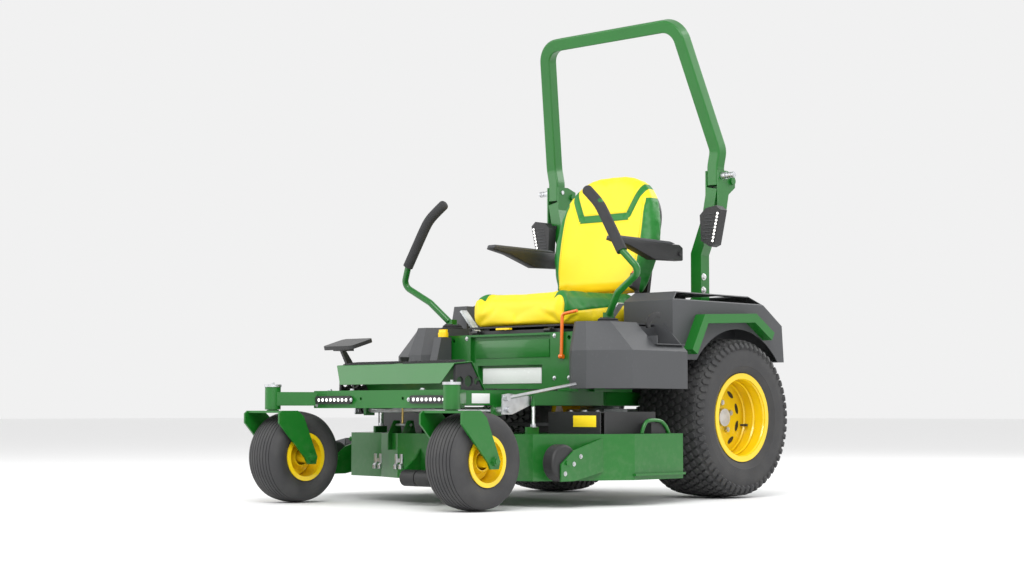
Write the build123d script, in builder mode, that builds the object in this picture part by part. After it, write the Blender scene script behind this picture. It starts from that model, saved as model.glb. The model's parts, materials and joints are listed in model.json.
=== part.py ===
from build123d import *

import math
import os

# Zero turn mower: a riding mower on two drive wheels and two front casters.
# Millimetres, +Z up. The origin is on the ground, under the middle of the rear axle.
# -Y is the front of the mower, +X is the operator's left-hand side.

# ---------------------------------------------------------------- driving dimensions
WHEELBASE = 1368.0           # rear axle to front wheel axles when the casters trail
REAR_TYRE_D = 610.0
REAR_TYRE_W = 305.0
REAR_TRACK = 824.0           # between the middles of the rear tyres
REAR_RIM_R = 152.0           # bead seat of the rear rim
REAR_RIM_FLANGE_R = 168.0
REAR_RIM_W = 276.0           # over the flanges
FRONT_TYRE_D = 330.0
FRONT_TYRE_W = 162.0
FRONT_TRACK = 912.0
FRONT_RIM_R = 76.0
FRONT_RIM_FLANGE_R = 87.0
FRONT_RIM_W = 138.0
CASTER_TRAIL = 100.0

RUNNING = 0.05               # radial clearance of every shaft that turns in a bore
SOFT_GAP = 0.4               # between a soft piece and what carries it
SIDE_GAP = 0.5               # beside a piece that turns or slides past another

RAIL_OUTER_X = 330.0         # outer face of the front run of a frame rail
RAIL_W = 38.0
RAIL_H = 50.0
RAIL_REAR_X = 234.0          # outer face of the rear run, inside the tyres
RAIL_JOG_Y = (-556.0, -430.0)
RAIL_END_Y = 380.0
FRAME_TOP = 400.0
TUBE_WALL = 4.0

CROSSBAR_HALF = 358.0
CROSSBAR_FRONT_Y = -1358.0
CROSSBAR_D = 50.0
CROSSBAR_H = 62.0
CROSSBAR_TOP = 402.0
CROSSBAR_HOLE_X = 107.0
CROSSBAR_HOLE_R = 5.5
CROSSBAR_HOLE_Z = 373.0
ARM_W = 50.0
ARM_Z = (349.0, 398.0)

SPINDLE_TUBE_R = 28.5
SPINDLE_TUBE_Z = (335.0, 416.0)
SPINDLE_R = 15.9
SPINDLE_BEARING_R = 23.5
SPINDLE_BEARING_H = 16.0
SPINDLE_CAP_R = 31.0
SPINDLE_CAP_H = 9.0

FORK_PLATE = 8.0
FORK_INSIDE = 92.0           # half of the gap between the fork legs
FORK_TOP = 331.0
AXLE_BOLT_R = 9.5

FLOOR_HALF = 300.0
FLOOR_SHEET = 3.0
FOOT_FRONT_LOW = (-1321.0, 423.0)
FOOT_FRONT_TOP = (-1297.0, 491.0)
FOOT_BACK_TOP = (-1214.0, 498.0)
FOOT_BACK_LOW = (-1150.0, 400.0)
FOOT_FRONT_LOW_HALF = 253.0

SEAT_BOX_HALF = 340.0
SEAT_BOX_FRONT_Y = -707.0
SEAT_BOX_REAR_Y = -402.0
SEAT_BOX_TOP = 618.0
SHEET = 3.0

DECK_TOP = 250.0
DECK_BOTTOM = 90.0
DECK_SHEET = 4.0
DECK_HALF = 640.0
DECK_REAR_Y = -481.0
DECK_FRONT_Y = -1172.0
BLADE_R = 216.0
BLADE_X = 393.5              # side spindles from the middle one
BLADE_SIDE_Y = -735.0
BLADE_MID_Y = -932.0
BLADE_Z = 104.0
BLADE_THICK = 5.0
BLADE_SHAFT_R = 12.5
PULLEY_R = 62.0
PULLEY_Z = 276.0
PULLEY_H = 16.0

LIFT_SHAFT_YZ = (-1119.0, 334.0)
LIFT_SHAFT_R = 10.0
LIFT_CRANK_X = 372.0         # inner face of each crank plate
LINK_X = 386.8               # middle of each hanging link, beside the crank plate
LINK_TOP = 384.0
LIFT_ARM = 121.0

ROPS_TUBE = 50.0
ROPS_WALL = 4.0
ROPS_PIVOT_YZ = (84.0, 1224.0)
ROPS_PIN_YZ = (20.0, 1240.0)
ROPS_PIN_R = 8.0
ROPS_FOOT_X = 415.0
ROPS_Y = 22.0                # middle of the upright guard tubes
ROPS_KNEE_Z = 1272.0         # top of the straight stretch between the cheeks
ROPS_TOP_Z = 1830.0
ROPS_TOP_Y = -120.0

LEVER_R = 12.5
LEVER_GRIP_R = 17.0
LEVER_PIVOT = (396.0, -611.0, 657.0)
LEVER_TILT_Z = 622.0
LEVER_TOWER_X = (352.0, 360.0)

SEAT_PLATE_TOP = 632.0
SEAT_RUNNER_H = 10.0
SEAT_HALF = 255.0
SEAT_FRONT_Y = -695.0
SEAT_REAR_Y = -190.0
CUSHION_H = 125.0
BACK_HALF = 272.0
BACK_LOW = (-235.0, 775.0)
BACK_LEAN = 12.0             # degrees from upright
BACK_H = 525.0
BACK_THICK = 80.0
BACK_SHELL = 10.0
BRACKET_RISE = 125.0
TILT_HINGE_YZ = (-700.0, 627.0)

SIDES = (("left", 1), ("right", -1))
WHEEL_Z = REAR_TYRE_D / 2
CASTER_WHEEL_Z = FRONT_TYRE_D / 2
SPINDLE_X = FRONT_TRACK / 2
SPINDLE_Y = -WHEELBASE - CASTER_TRAIL
CROSSBAR_BACK_Y = CROSSBAR_FRONT_Y + CROSSBAR_D
CONSOLE_W = 39.0             # width of the height console beside the seat box
CONSOLE_X = -(SEAT_BOX_HALF - 0.5 - CONSOLE_W / 2)
DIAL_XY = (CONSOLE_X + 2, -742.0)
DIAL_STEM_R = 6.0
GUIDE_Y = (-562.0, -528.0)   # front and rear edges of the lever guide plates
FRAME_UNDER = FRAME_TOP - RAIL_H


# ---------------------------------------------------------------- helpers
def save(builder, label):
    """Label a finished sub-part and write its STEP file."""
    builder.part.label = label
    export_step(builder.part, f"parts/{label}.step")


def mirrored(source):
    """The same sub-part on the other side of the machine."""
    with BuildPart() as copy:
        mirror(source.part, about=Plane.YZ)
    return copy


def save_pair(left, label):
    """Write a left sub-part and its mirror image on the right."""
    save(left, f"{label}_left")
    save(mirrored(left), f"{label}_right")


def block(x, y, z, mode=Mode.ADD):
    """A box between pairs of coordinates, in the current part."""
    centre = ((x[0] + x[1]) / 2, (y[0] + y[1]) / 2, (z[0] + z[1]) / 2)
    with Locations(centre):
        Box(abs(x[1] - x[0]), abs(y[1] - y[0]), abs(z[1] - z[0]), mode=mode)


def rod_x(radius, x, yz, mode=Mode.ADD):
    """A round bar along X between two X values."""
    with Locations(Location(((x[0] + x[1]) / 2, yz[0], yz[1]), (0, 90, 0))):
        Cylinder(radius, abs(x[1] - x[0]), mode=mode)


def rod_y(radius, y, xz, mode=Mode.ADD):
    """A round bar along Y between two Y values."""
    with Locations(Location((xz[0], (y[0] + y[1]) / 2, xz[1]), (90, 0, 0))):
        Cylinder(radius, abs(y[1] - y[0]), mode=mode)


def rod_z(radius, xy, z, mode=Mode.ADD):
    """A round bar along Z between two Z values."""
    with Locations((xy[0], xy[1], (z[0] + z[1]) / 2)):
        Cylinder(radius, abs(z[1] - z[0]), mode=mode)


def side_plate(outline, x, mode=Mode.ADD):
    """A plate with an outline in (Y, Z), between two X values."""
    with BuildSketch(Plane.YZ.offset(min(x))) as profile:
        with BuildLine():
            Polyline(*outline, close=True)
        make_face()
    extrude(profile.sketch, amount=abs(x[1] - x[0]), mode=mode)


def plan_plate(outline, z, mode=Mode.ADD):
    """A plate with an outline in (X, Y), between two Z values."""
    with BuildSketch(Plane.XY.offset(min(z))) as profile:
        with BuildLine():
            Polyline(*outline, close=True)
        make_face()
    extrude(profile.sketch, amount=abs(z[1] - z[0]), mode=mode)


def wheel_plane(centre):
    """Plane whose first axis runs along the wheel's axle and second one straight up."""
    return Plane(origin=centre, x_dir=(1, 0, 0), z_dir=(0, -1, 0))


# ---------------------------------------------------------------- wheels
def tyre(centre, outer_r, width, bead_r, bead_x, flange_r, wall):
    """A hollow tyre turned about its axle: beads inside the rim's flanges, bulged walls."""
    half = width / 2
    shoulder = outer_r * 0.93
    foot = flange_r + 2
    middle = (shoulder + foot) / 2
    with BuildPart() as body:
        with BuildSketch(wheel_plane(centre)):
            with BuildLine():
                crown = ThreePointArc((-half * 0.8, shoulder), (0, outer_r), (half * 0.8, shoulder))
                wall_out = ThreePointArc(crown @ 1, (half, middle), (bead_x, foot))
                lip_x = bead_x - wall
                bead = Polyline(wall_out @ 1, (bead_x, bead_r), (lip_x, bead_r), (lip_x, foot))
                inside = (half * 0.72, shoulder - wall)
                wall_in = ThreePointArc(bead @ 1, (half - wall, middle), inside)
                crown_in = ThreePointArc(inside, (0, outer_r - wall), (-inside[0], inside[1]))
                far_in = ThreePointArc(crown_in @ 1, (wall - half, middle), (-lip_x, foot))
                far = Polyline(far_in @ 1, (-lip_x, bead_r), (-bead_x, bead_r), (-bead_x, foot))
                ThreePointArc(far @ 1, (-half, middle), crown @ 0)
            make_face()
        revolve(axis=Axis(centre, (1, 0, 0)))
    return body


def rim(centre, bead_r, flange_r, width, disc_x, hub_r, hub_x, bore_r):
    """A pressed rim: barrel, two flanges, a disc at disc_x and a hub with a bore."""
    half = width / 2
    wall = TUBE_WALL
    seat = bead_r - SIDE_GAP
    with BuildPart() as body:
        with BuildSketch(wheel_plane(centre)):
            with Locations((0, seat - wall / 2)):
                Rectangle(width, wall)
            with Locations((half - wall / 2, (flange_r + seat - wall) / 2)):
                Rectangle(wall, flange_r - seat + wall)
            with Locations((wall / 2 - half, (flange_r + seat - wall) / 2)):
                Rectangle(wall, flange_r - seat + wall)
            with Locations((disc_x, (seat + hub_r) / 2)):
                Rectangle(wall + 2, seat - hub_r)
            with Locations(((hub_x[0] + hub_x[1]) / 2, (hub_r + bore_r) / 2)):
                Rectangle(hub_x[1] - hub_x[0], hub_r - bore_r + 2)
            with Locations((disc_x, bore_r / 2)):
                Rectangle(width * 2, bore_r, mode=Mode.SUBTRACT)
        revolve(axis=Axis(centre, (1, 0, 0)))
    return body


REAR_DISC_X = 30.0           # rear disc from the middle of the rim, towards the outside
STUD_CIRCLE_R = 57.15
STUD_R = 6.0
HUB_FLANGE_R = 76.0
HUB_PILOT_R = 34.0
AXLE_SHAFT_R = 16.0
HORN_END_X = 330.0


def rear_wheels():
    """Drive wheels: tyre, pressed rim, and the hub with its studs, nuts and axle."""
    centre = (REAR_TRACK / 2, 0, WHEEL_Z)
    disc_half = (TUBE_WALL + 2) / 2
    bead_x = REAR_RIM_W / 2 - TUBE_WALL - SIDE_GAP
    outer_r = REAR_TYRE_D / 2
    rear_tyre = tyre(centre, outer_r, REAR_TYRE_W, REAR_RIM_R, bead_x, REAR_RIM_FLANGE_R, 16.0)
    save_pair(rear_tyre, "rear_tyre")

    pilot = (REAR_DISC_X - disc_half, REAR_DISC_X + disc_half)
    hub_r = HUB_PILOT_R + 12
    plain = rim(
        centre,
        REAR_RIM_R,
        REAR_RIM_FLANGE_R,
        REAR_RIM_W,
        REAR_DISC_X,
        hub_r,
        pilot,
        HUB_PILOT_R,
    )
    disc_face = Plane(origin=(centre[0] + REAR_DISC_X, 0, WHEEL_Z), x_dir=(0, 1, 0), z_dir=(1, 0, 0))
    with BuildPart() as rear_rim:
        add(plain.part)
        with BuildSketch(disc_face):
            with PolarLocations(STUD_CIRCLE_R, 5, start_angle=90):
                Circle(STUD_R + SIDE_GAP)
        extrude(amount=disc_half + 1, both=True, mode=Mode.SUBTRACT)
    save_pair(rear_rim, "rear_rim")

    disc_in = centre[0] + pilot[0]
    disc_out = centre[0] + pilot[1]
    with BuildPart() as hub:
        rod_x(HUB_FLANGE_R, (disc_in - 12, disc_in), (0, WHEEL_Z))
        rod_x(HUB_PILOT_R - SIDE_GAP, (disc_in - 12, disc_out + 22), (0, WHEEL_Z))
        rod_x(AXLE_SHAFT_R, (150, disc_in), (0, WHEEL_Z))
        with BuildSketch(Plane(origin=(disc_in, 0, WHEEL_Z), x_dir=(0, 1, 0), z_dir=(1, 0, 0))):
            with PolarLocations(STUD_CIRCLE_R, 5, start_angle=90):
                Circle(STUD_R)
        extrude(amount=disc_out - disc_in + 16)
        with BuildSketch(Plane(origin=(disc_out, 0, WHEEL_Z), x_dir=(0, 1, 0), z_dir=(1, 0, 0))):
            with PolarLocations(STUD_CIRCLE_R, 5, start_angle=90):
                RegularPolygon(11, 6)
        extrude(amount=13)
    save_pair(hub, "rear_hub")


HUB_TUBE_R = 20.0


def front_wheels():
    """Caster wheels: ribbed tyre and a rim with its hub tube."""
    centre = (SPINDLE_X, -WHEELBASE, CASTER_WHEEL_Z)
    bead_x = FRONT_RIM_W / 2 - TUBE_WALL - SIDE_GAP
    front_tyre = tyre(centre, FRONT_TYRE_D / 2, FRONT_TYRE_W, FRONT_RIM_R, bead_x, FRONT_RIM_FLANGE_R, 10.0)
    save_pair(front_tyre, "front_tyre")
    reach = FORK_INSIDE - SIDE_GAP
    front_rim = rim(
        centre,
        FRONT_RIM_R,
        FRONT_RIM_FLANGE_R,
        FRONT_RIM_W,
        0,
        HUB_TUBE_R,
        (-reach, reach),
        AXLE_BOLT_R + RUNNING,
    )
    save_pair(front_rim, "front_rim")


# ---------------------------------------------------------------- casters
def caster_forks():
    """Bent plate yoke, its spindle and the axle bolt with its nut."""
    y = SPINDLE_Y
    leg = (
        (y - 52, FORK_TOP - 44),
        (y - 52, FORK_TOP - 10),
        (y - 40, FORK_TOP),
        (y + 34, FORK_TOP),
        (y + 62, FORK_TOP - 22),
        (-WHEELBASE + 27, CASTER_WHEEL_Z),
        (-WHEELBASE + 20, CASTER_WHEEL_Z - 26),
        (-WHEELBASE - 18, CASTER_WHEEL_Z - 26),
        (-WHEELBASE - 30, CASTER_WHEEL_Z - 4),
    )
    inner = SPINDLE_X - FORK_INSIDE
    outer = SPINDLE_X + FORK_INSIDE
    with BuildPart() as fork:
        block((inner - FORK_PLATE, outer + FORK_PLATE), (y - 40, y + 34), (FORK_TOP - FORK_PLATE, FORK_TOP))
        side_plate(leg, (inner - FORK_PLATE, inner))
        side_plate(leg, (outer, outer + FORK_PLATE))
        rod_z(SPINDLE_R, (SPINDLE_X, y), (FORK_TOP - 2, SPINDLE_TUBE_Z[1] - 3))
        rod_z(SPINDLE_R + 6, (SPINDLE_X, y), (FORK_TOP, SPINDLE_TUBE_Z[0] - SIDE_GAP))
        rod_x(AXLE_BOLT_R, (inner - FORK_PLATE - 12, outer + FORK_PLATE + 14), (-WHEELBASE, CASTER_WHEEL_Z))
        for face, way in ((inner - FORK_PLATE, -1), (outer + FORK_PLATE, 1)):
            with BuildSketch(Plane.YZ.offset(face)):
                with Locations((-WHEELBASE, CASTER_WHEEL_Z)):
                    RegularPolygon(16, 6)
            extrude(amount=10 * way)
    save_pair(fork, "caster_fork")


def caster_bearings():
    """Two bearings in each spindle tube, and the cap with its grease nipple on top."""
    low, high = SPINDLE_TUBE_Z
    with BuildPart() as bearings:
        for x in (SPINDLE_X, -SPINDLE_X):
            for start in (low, high - SPINDLE_BEARING_H):
                rod_z(SPINDLE_BEARING_R - RUNNING, (x, SPINDLE_Y), (start, start + SPINDLE_BEARING_H))
                bore_z = (start, start + SPINDLE_BEARING_H)
                rod_z(SPINDLE_R + RUNNING, (x, SPINDLE_Y), bore_z, Mode.SUBTRACT)
        for x in (SPINDLE_X, -SPINDLE_X):
            rod_z(SPINDLE_CAP_R, (x, SPINDLE_Y), (high + RUNNING, high + SPINDLE_CAP_H))
            rod_z(5, (x, SPINDLE_Y), (high + SPINDLE_CAP_H, high + SPINDLE_CAP_H + 7))
    save(bearings, "caster_bearings")


# ---------------------------------------------------------------- frame
TOWER_Y = (-640.0, -582.0)
DECK_PLATE = 5.0
CRANK_HANGER_X = (340.0, 352.0)


def rail_outline(inset):
    """Plan outline of the left rail, drawn in by inset all round."""
    outer = RAIL_OUTER_X - inset
    inner = RAIL_OUTER_X - RAIL_W + inset
    rear_outer = RAIL_REAR_X - inset
    rear_inner = RAIL_REAR_X - RAIL_W + inset
    jog, end = RAIL_JOG_Y
    front = CROSSBAR_BACK_Y
    return (
        (outer, front),
        (outer, jog),
        (rear_outer, end),
        (rear_outer, RAIL_END_Y),
        (rear_inner, RAIL_END_Y),
        (rear_inner, end - 8),
        (inner, jog - 8),
        (inner, front),
    )


def main_frame():
    """Two box rails, cross members, engine plate and the towers of the control levers."""
    inside = RAIL_OUTER_X - RAIL_W
    rear_inside = RAIL_REAR_X - RAIL_W
    with BuildPart() as frame:
        plan_plate(rail_outline(0), (FRAME_UNDER, FRAME_TOP))
        plan_plate(rail_outline(TUBE_WALL), (FRAME_UNDER + TUBE_WALL, FRAME_TOP - TUBE_WALL), Mode.SUBTRACT)
        # control lever tower: a foot on the rail and an upright with the pivot hole
        block((RAIL_OUTER_X - RAIL_W, LEVER_TOWER_X[1]), TOWER_Y, (FRAME_TOP, FRAME_TOP + 8))
        block(LEVER_TOWER_X, TOWER_Y, (FRAME_TOP, LEVER_TILT_Z + 20))
        tower_bore = (LEVER_TOWER_X[0] - 1, LEVER_TOWER_X[1] + 1)
        rod_x(11 + RUNNING, tower_bore, (LEVER_PIVOT[1], LEVER_TILT_Z), Mode.SUBTRACT)
        # hanger of the lift shaft, under the rail
        hanger = (LIFT_SHAFT_YZ[0] - 22, LIFT_SHAFT_YZ[0] + 22)
        block((RAIL_OUTER_X - 12, RAIL_OUTER_X), hanger, (LIFT_SHAFT_YZ[1] - 20, FRAME_UNDER))
        rod_x(LIFT_SHAFT_R + RUNNING, (RAIL_OUTER_X - 13, RAIL_OUTER_X + 1), LIFT_SHAFT_YZ, Mode.SUBTRACT)
        mirror(about=Plane.YZ)
        for y in (-1290.0, -720.0):
            block((-inside, inside), (y, y + 40), (FRAME_UNDER + 8, FRAME_TOP))
        for y in (-400.0, 330.0):
            block((-rear_inside, rear_inside), (y, y + 40), (FRAME_UNDER + 8, FRAME_TOP))
        plate_y = (ROPS_Y + BASE_DEEP / 2 + 4, RAIL_END_Y)
        block((-RAIL_REAR_X, RAIL_REAR_X), plate_y, (FRAME_TOP, FRAME_TOP + DECK_PLATE))
    save(frame, "main_frame")


def front_crossbar():
    """Box beam across the front, its two arms and the caster spindle tubes."""
    start = (CROSSBAR_HALF - 4, (CROSSBAR_FRONT_Y + CROSSBAR_BACK_Y) / 2)
    end = (SPINDLE_X, SPINDLE_Y)
    run = math.hypot(end[0] - start[0], end[1] - start[1])
    across = (-(end[1] - start[1]) / run * ARM_W / 2, (end[0] - start[0]) / run * ARM_W / 2)
    arm = (
        (start[0] + across[0], start[1] + across[1]),
        (end[0] + across[0], end[1] + across[1]),
        (end[0] - across[0], end[1] - across[1]),
        (start[0] - across[0], start[1] - across[1]),
    )
    beam_z = (CROSSBAR_TOP - CROSSBAR_H, CROSSBAR_TOP)
    beam_y = (CROSSBAR_FRONT_Y, CROSSBAR_BACK_Y)
    hollow_y = (beam_y[0] + TUBE_WALL, beam_y[1] - TUBE_WALL)
    hollow_z = (beam_z[0] + TUBE_WALL, beam_z[1] - TUBE_WALL)
    low, high = SPINDLE_TUBE_Z
    spot = (SPINDLE_X, SPINDLE_Y)
    with BuildPart() as crossbar:
        block((-CROSSBAR_HALF, CROSSBAR_HALF), beam_y, beam_z)
        plan_plate(arm, ARM_Z)
        rod_z(SPINDLE_TUBE_R, spot, (low, high))
        rod_z(SPINDLE_BEARING_R, spot, (low, low + SPINDLE_BEARING_H), Mode.SUBTRACT)
        rod_z(SPINDLE_BEARING_R, spot, (high - SPINDLE_BEARING_H, high), Mode.SUBTRACT)
        rod_z(SPINDLE_R + 2, spot, (low, high), Mode.SUBTRACT)
        mirror(about=Plane.YZ)
        block((-CROSSBAR_HALF + 40, CROSSBAR_HALF - 40), hollow_y, hollow_z, Mode.SUBTRACT)
        for x in (CROSSBAR_HOLE_X, -CROSSBAR_HOLE_X):
            rod_y(CROSSBAR_HOLE_R, (beam_y[0] - 1, hollow_y[0] + 1), (x, CROSSBAR_HOLE_Z), Mode.SUBTRACT)
    save(crossbar, "front_crossbar")


BUMPER_Y = (RAIL_END_Y, RAIL_END_Y + 40)
BUMPER_HALF = 250.0
HITCH_R = 9.5
HITCH_Y = BUMPER_Y[1] + 32
HITCH_PLATE = 8.0
GUARD_R = 16.0
GUARD_TOP = 600.0


def rear_bumper():
    """Beam across the rail ends, the guard loop behind the engine and the hitch plate."""
    beam_z = (FRAME_UNDER, FRAME_TOP)
    guard_y = (BUMPER_Y[0] + BUMPER_Y[1]) / 2
    with BuildPart() as bumper:
        block((-BUMPER_HALF, BUMPER_HALF), BUMPER_Y, beam_z)
        with BuildLine():
            FilletPolyline(
                (-210, guard_y, FRAME_TOP - 5),
                (-210, guard_y, GUARD_TOP),
                (210, guard_y, GUARD_TOP),
                (210, guard_y, FRAME_TOP - 5),
                radius=60,
            )
        with BuildSketch(Plane(origin=(-210, guard_y, FRAME_TOP - 5), z_dir=(0, 0, 1))):
            Circle(GUARD_R)
        sweep()
        hitch = (
            (-70, BUMPER_Y[1]),
            (-30, HITCH_Y + 25),
            (30, HITCH_Y + 25),
            (70, BUMPER_Y[1]),
        )
        plan_plate(hitch, (FRAME_UNDER, FRAME_UNDER + HITCH_PLATE))
        rod_z(HITCH_R, (0, HITCH_Y), (FRAME_UNDER - 1, FRAME_UNDER + HITCH_PLATE + 1), Mode.SUBTRACT)
    save(bumper, "rear_bumper")


# ---------------------------------------------------------------- front platform
LIGHT_BAR_X = (150.0, 340.0)
LIGHT_BAR_Z = 369.0
LIGHT_BAR_H = 28.0
LIGHT_BAR_OUT = 10.0
KNOB_XY = (-200.0, -1060.0)
KNOB_STEM_R = 7.0


def floor_pan():
    """Folded floor sheet with the raised foot rest across the front."""
    rear = (SEAT_BOX_FRONT_Y - 1, FRAME_TOP)
    corner = (FLOOR_HALF, FOOT_FRONT_TOP[1] + 1)
    notch = ((FOOT_FRONT_LOW_HALF, FOOT_FRONT_LOW[1] - 4), (FLOOR_HALF + 1, FOOT_FRONT_LOW[1] - 4), corner)
    with BuildPart() as pan:
        with BuildSketch(Plane.YZ):
            with BuildLine():
                Polyline(FOOT_FRONT_LOW, FOOT_FRONT_TOP, FOOT_BACK_TOP, FOOT_BACK_LOW, rear)
                offset(amount=FLOOR_SHEET, side=Side.LEFT)
            make_face()
        extrude(amount=FLOOR_HALF, both=True)
        with BuildSketch(Plane.XZ.offset(-FOOT_FRONT_TOP[0])):
            with BuildLine():
                Polyline(*notch, close=True)
            make_face()
            mirror(about=Plane.YZ)
        extrude(amount=40, mode=Mode.SUBTRACT)
        rod_z(KNOB_STEM_R + SIDE_GAP, KNOB_XY, (FRAME_TOP - 5, FRAME_TOP + 10), Mode.SUBTRACT)
    save(pan, "floor_pan")


def floor_pads():
    """Ribbed pads for the feet and the two brackets that close the foot rest's ends."""
    bracket = (
        (-1292, FRAME_TOP),
        (FOOT_FRONT_TOP[0] + 8, FOOT_FRONT_TOP[1] - 4),
        (FOOT_BACK_TOP[0] - 2, FOOT_BACK_TOP[1] - 3),
        (FOOT_BACK_LOW[0] - 5, FRAME_TOP),
    )
    top_run = FOOT_BACK_TOP[0] - FOOT_FRONT_TOP[0]
    top_rise = FOOT_BACK_TOP[1] - FOOT_FRONT_TOP[1]
    rise = math.degrees(math.atan2(top_rise, top_run))
    top_mid = ((FOOT_FRONT_TOP[0] + FOOT_BACK_TOP[0]) / 2, (FOOT_FRONT_TOP[1] + FOOT_BACK_TOP[1]) / 2)
    pad_plane = Plane(origin=(0, top_mid[0], top_mid[1])).rotated((rise, 0, 0)).offset(FLOOR_SHEET)
    with BuildPart() as pads:
        side_plate(bracket, (FLOOR_HALF - 14, FLOOR_HALF - 4))
        for hole_y, hole_r in ((-1268, 16), (-1225, 20), (-1188, 12)):
            rod_x(hole_r, (FLOOR_HALF - 15, FLOOR_HALF), (hole_y, 432), Mode.SUBTRACT)
        mirror(about=Plane.YZ)
        for side in (1, -1):
            with BuildSketch(pad_plane):
                with Locations((side * 155, 0)):
                    RectangleRounded(250, 72, 8)
            extrude(amount=4)
            with BuildSketch(pad_plane.offset(4)):
                with Locations((side * 155, 0)):
                    with GridLocations(22, 14, 11, 5):
                        Rectangle(14, 7)
            extrude(amount=3)
            mat_z = (FRAME_TOP + FLOOR_SHEET, FRAME_TOP + FLOOR_SHEET + 5)
            block((side * 40, side * 270), (-1120, -740), mat_z)
        rod_z(KNOB_STEM_R + SIDE_GAP, KNOB_XY, (FRAME_TOP, FRAME_TOP + 20), Mode.SUBTRACT)
    save(pads, "floor_pads")


def floor_knob():
    """Push knob on a stem that slides through the floor."""
    with BuildPart() as knob:
        rod_z(KNOB_STEM_R, KNOB_XY, (FRAME_TOP - 6, 505))
        with BuildSketch(Plane.XY.offset(500)):
            with Locations(KNOB_XY):
                Circle(13)
        with BuildSketch(Plane.XY.offset(527)):
            with Locations(KNOB_XY):
                Circle(19)
        loft()
    save(knob, "floor_knob")


# ---------------------------------------------------------------- seat box and covers
def seat_box():
    """Folded sheet box that carries the seat, with a recessed front panel."""
    half = SEAT_BOX_HALF
    front = SEAT_BOX_FRONT_Y
    panel_half = 205.0
    recess = 14.0
    wall = recess + SHEET
    z = (FRAME_TOP, SEAT_BOX_TOP)
    with BuildPart() as box:
        block((-half, half), (front, SEAT_BOX_REAR_Y), z)
        hollow_x = half - SHEET
        hollow_y = (front + wall, SEAT_BOX_REAR_Y - SHEET)
        block((-hollow_x, hollow_x), hollow_y, (z[0] - 1, z[1] - SHEET), Mode.SUBTRACT)
        # open top with a ledge all round, open back for the drive belt
        block((-240, 240), (front + 60, SEAT_BOX_REAR_Y - 40), (z[1] - 10, z[1] + 1), Mode.SUBTRACT)
        back_y = (SEAT_BOX_REAR_Y - 10, SEAT_BOX_REAR_Y + 1)
        block((-220, 220), back_y, (z[0] - 1, z[1] - 60), Mode.SUBTRACT)
        # front panels between the two corner posts
        block((-panel_half, panel_half), (front - 1, front + recess), (512, z[1] - 8), Mode.SUBTRACT)
        low_half = panel_half - 40
        block((-low_half, low_half), (front - 1, front + recess), (z[0] + 24, 500), Mode.SUBTRACT)
        # post holes at the front corners, and notches over the feet of the lever towers
        for x in (1, -1):
            rod_y(8, (front - 1, front + wall + 1), (x * 296, 597), Mode.SUBTRACT)
            foot_z = (z[0] - 1, z[0] + 8 + SIDE_GAP)
            block((x * (half - 60), x * (half + 1)), TOWER_Y, foot_z, Mode.SUBTRACT)
    save(box, "seat_box")


COVER_WALL = 4.0
COVER_INNER_X = SEAT_BOX_HALF + 0.3
POD_Z = (410.0, 545.0, 650.0)
POCKET_FLOOR = 572.0
POCKET_X = (450.0, 590.0)
POCKET_FRONT_Y = -560.0
FENDER_X = (300.0, 532.0)
FENDER_FRONT_Y = -400.0
FENDER_TOP = 773.0
ARCH_R = 336.0
ROPS_NOTCH = ((299.0, 450.0), (-30.0, 76.0))


def pod_outline(level, inset):
    """Plan outline of the front pod at the bottom (0), shoulder (1) or top (2)."""
    front = (-795.0, -795.0, -768.0)[level]
    outer_x = (600.0, 600.0, 492.0)[level]
    outer_front = (-711.0, -711.0, -705.0)[level]
    mid_x = (455.0, 455.0, 430.0)[level]
    return (
        (COVER_INNER_X + inset, front + 40 + inset),
        (COVER_INNER_X + 45 + inset / 2, front + inset),
        (mid_x, front + inset),
        (outer_x - inset, outer_front + inset / 2),
        (outer_x - inset, FENDER_FRONT_Y - inset),
        (COVER_INNER_X + inset, FENDER_FRONT_Y - inset),
    )


def pod_solid(inset, bottom, mode):
    """The pod's outside (inset 0) or its hollow (inset = wall)."""
    levels = (POD_Z[1], POD_Z[2] - inset)
    plan_plate(pod_outline(0, inset), (bottom, POD_Z[1]), mode)
    with BuildSketch(Plane.XY.offset(levels[0])) as shoulder:
        with BuildLine():
            Polyline(*pod_outline(1, inset), close=True)
        make_face()
    with BuildSketch(Plane.XY.offset(levels[1])) as top:
        with BuildLine():
            Polyline(*pod_outline(2, inset), close=True)
        make_face()
    loft([shoulder.sketch, top.sketch], mode=mode)


def fender_solid(inset, mode):
    """The fender's outside (inset 0) or its hollow (inset = wall)."""
    outline = (
        (FENDER_FRONT_Y + inset, 520 + inset),
        (FENDER_FRONT_Y + inset, 738),
        (-338, FENDER_TOP - inset),
        (112, FENDER_TOP - inset),
        (288 - inset, 662),
        (300 - inset, 520 + inset),
    )
    side_plate(outline, (FENDER_X[0] + inset, FENDER_X[1] - inset), mode)


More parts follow.
